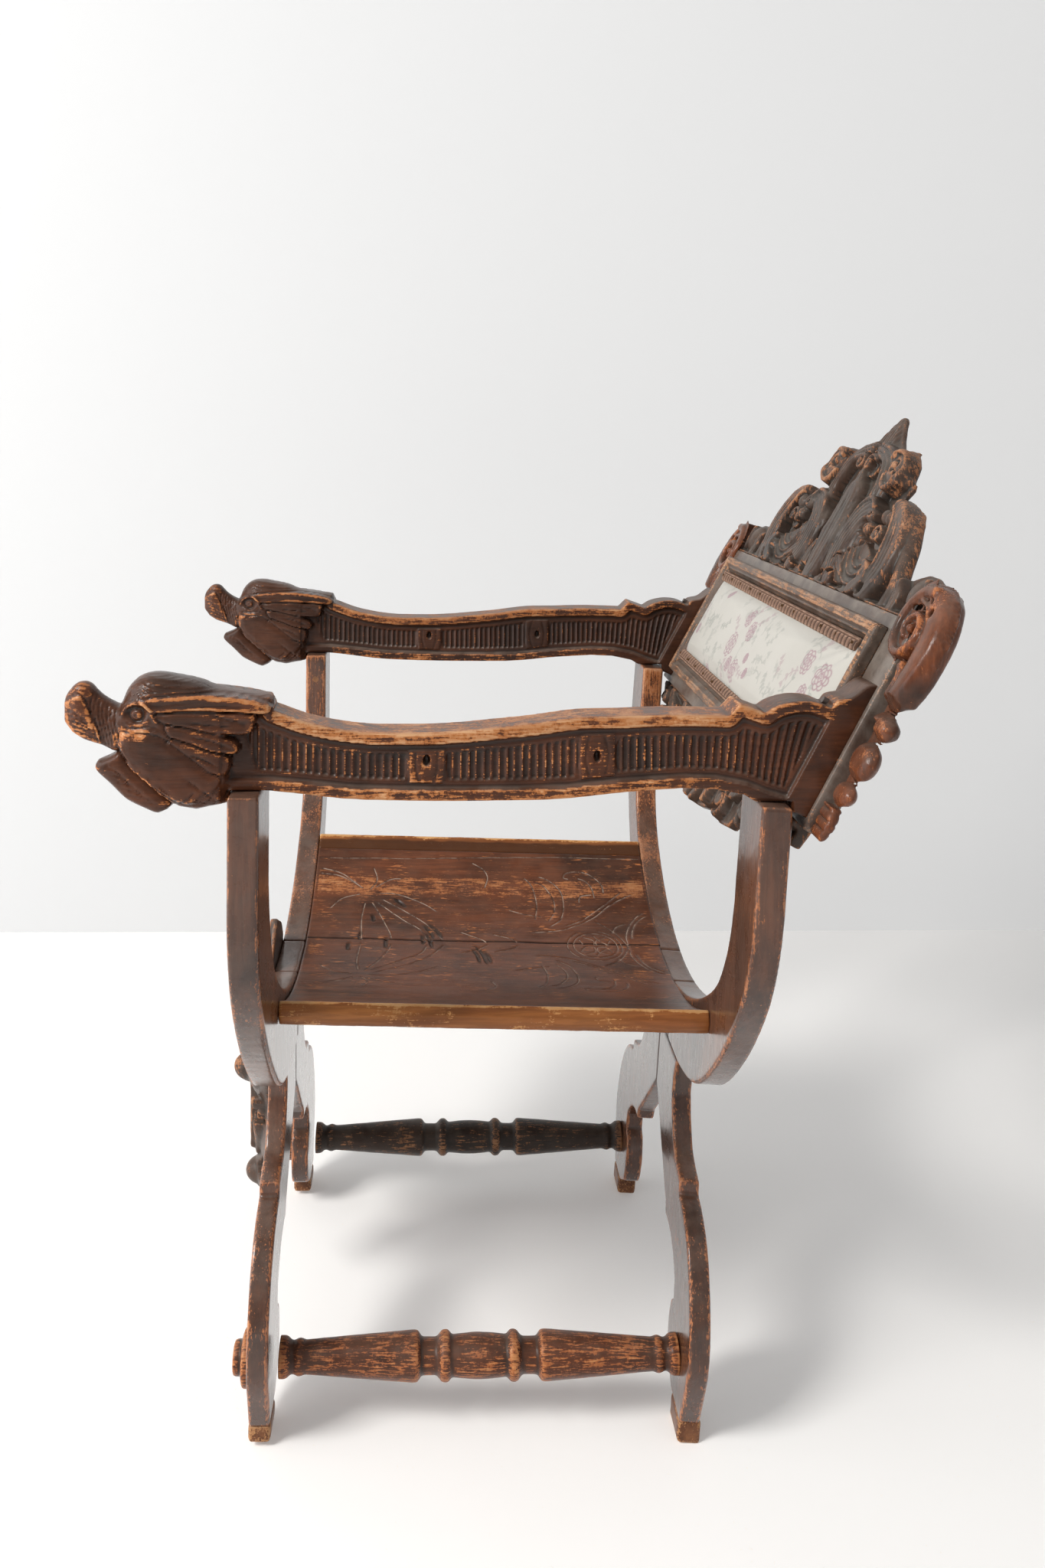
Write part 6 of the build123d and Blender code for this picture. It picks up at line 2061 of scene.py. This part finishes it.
def buildCamera():
    data = bpy.data.cameras.new("camera")
    data.sensor_width = 36
    data.lens = camera["lens"]
    data.shift_x = camera["shiftX"]
    data.shift_y = camera["shiftY"]
    data.clip_start = 0.01
    data.clip_end = 50
    obj = bpy.data.objects.new("camera", data)
    bpy.context.scene.collection.objects.link(obj)
    # right, up and forward in world terms; turned by roll, then pitch, then yaw
    def world(f, r, u):
        c, s = math.cos(camera["roll"]), math.sin(camera["roll"])
        r, u = r * c - u * s, r * s + u * c
        c, s = math.cos(camera["pitch"]), math.sin(camera["pitch"])
        f, u = f * c - u * s, f * s + u * c
        c, s = math.cos(camera["yaw"]), math.sin(camera["yaw"])
        f, r = f * c - r * s, f * s + r * c
        return Vector((-f, r, u))
    right, up, back = world(0, 1, 0), world(0, 0, 1), -world(1, 0, 0)
    turn = Matrix((right, up, back)).transposed().to_4x4()
    obj.matrix_world = Matrix.Translation(camera["place"]) @ turn
    bpy.context.scene.camera = obj


def flatPlane(name, corners, material):
    mesh = bpy.data.meshes.new(name)
    mesh.from_pydata(corners, [], [(0, 1, 2, 3)])
    mesh.materials.append(material)
    obj = bpy.data.objects.new(name, mesh)
    bpy.context.scene.collection.objects.link(obj)
    return obj


def roomMaterial(name, tint, mottle, lift):
    material, t, shader = newMaterial(name)
    place = t.place()
    cloud = t.noise(place, 1.6, 4.0, 0.6)
    grit = t.band(t.noise(place, 160.0, 3.0, 0.7), 0.62, 0.72)
    base = t.mix(t.times(cloud, mottle), colour(*tint), shade(tint, 0.82))
    base = t.mix(t.times(grit, mottle * 0.8), base, shade(tint, 0.6))
    t.feed(shader, "Base Color", base)
    setSockets(shader, {"Roughness": 0.85, "Specular IOR Level": 0.15})
    # the room is white to the eye and in polished wood, and casts no more light for it
    path = t.add("ShaderNodeLightPath")
    mirrored = t.times(path.outputs["Is Glossy Ray"], 0.4)
    shader.inputs["Emission Color"].default_value = colour(1.0, 0.99, 0.975)
    t.feed(shader, "Emission Strength", t.plus(mirrored, t.times(path.outputs["Is Camera Ray"], lift)))
    return material


room = {
    "wallX": -0.965,         # the wall stands behind the chair, in metres
    "reach": 4,              # the floor's and the wall's half width
}


def buildRoom():
    wallX, far = room["wallX"], room["reach"]
    floor = roomMaterial("floorPaint", (0.93, 0.915, 0.895), 0.30, 0.15)
    wall = roomMaterial("wallPaint", (0.42, 0.424, 0.428), 0.04, 0.36)
    # seen from behind the wall is clear
    t = Tree(wall.node_tree)
    behind = t.add("ShaderNodeNewGeometry").outputs["Backfacing"]
    t.feed(wall.node_tree.nodes["Principled BSDF"], "Alpha", t.minus(1.0, behind))
    flatPlane("floor", [(-far, -far, 0), (far, -far, 0), (far, far, 0), (-far, far, 0)], floor)
    flatPlane("wall", [(wallX, -far, 0), (wallX, far, 0), (wallX, far, far), (wallX, -far, far)], wall)


def areaLight(name, place, target, size, power, tint=(1, 1, 1)):
    data = bpy.data.lights.new(name, "AREA")
    data.shape = "SQUARE"
    data.size = size
    data.energy = power
    data.color = tint
    obj = bpy.data.objects.new(name, data)
    bpy.context.scene.collection.objects.link(obj)
    obj.location = place
    obj.rotation_euler = (Vector(target) - Vector(place)).to_track_quat("-Z", "Y").to_euler()


def buildLight():
    world = bpy.data.worlds.new("softRoom")
    bpy.context.scene.world = world
    world.use_nodes = True
    back = world.node_tree.nodes["Background"]
    back.inputs["Color"].default_value = (0.97, 0.975, 0.99, 1)
    # what glossy wood mirrors is the white room, brighter than the light that falls on it
    t = Tree(world.node_tree)
    path = t.add("ShaderNodeLightPath")
    seen = t.plus(t.times(path.outputs["Is Glossy Ray"], 0.10),
                  t.times(path.outputs["Is Camera Ray"], 0.36))
    t.feed(back, "Strength", t.plus(0.47, seen))
    areaLight("window", (1.9, -3.0, 3.2), (0, 0, 0.3), 1.3, 160, (1.0, 0.985, 0.96))
    areaLight("open_side", (0.7, -3.1, 1.0), (0.2, 0.4, 0.3), 2.2, 44, (0.97, 0.985, 1.0))


buildCamera()
buildRoom()
buildLight()
bpy.context.scene.view_settings.view_transform = "Standard"
print("room ready")
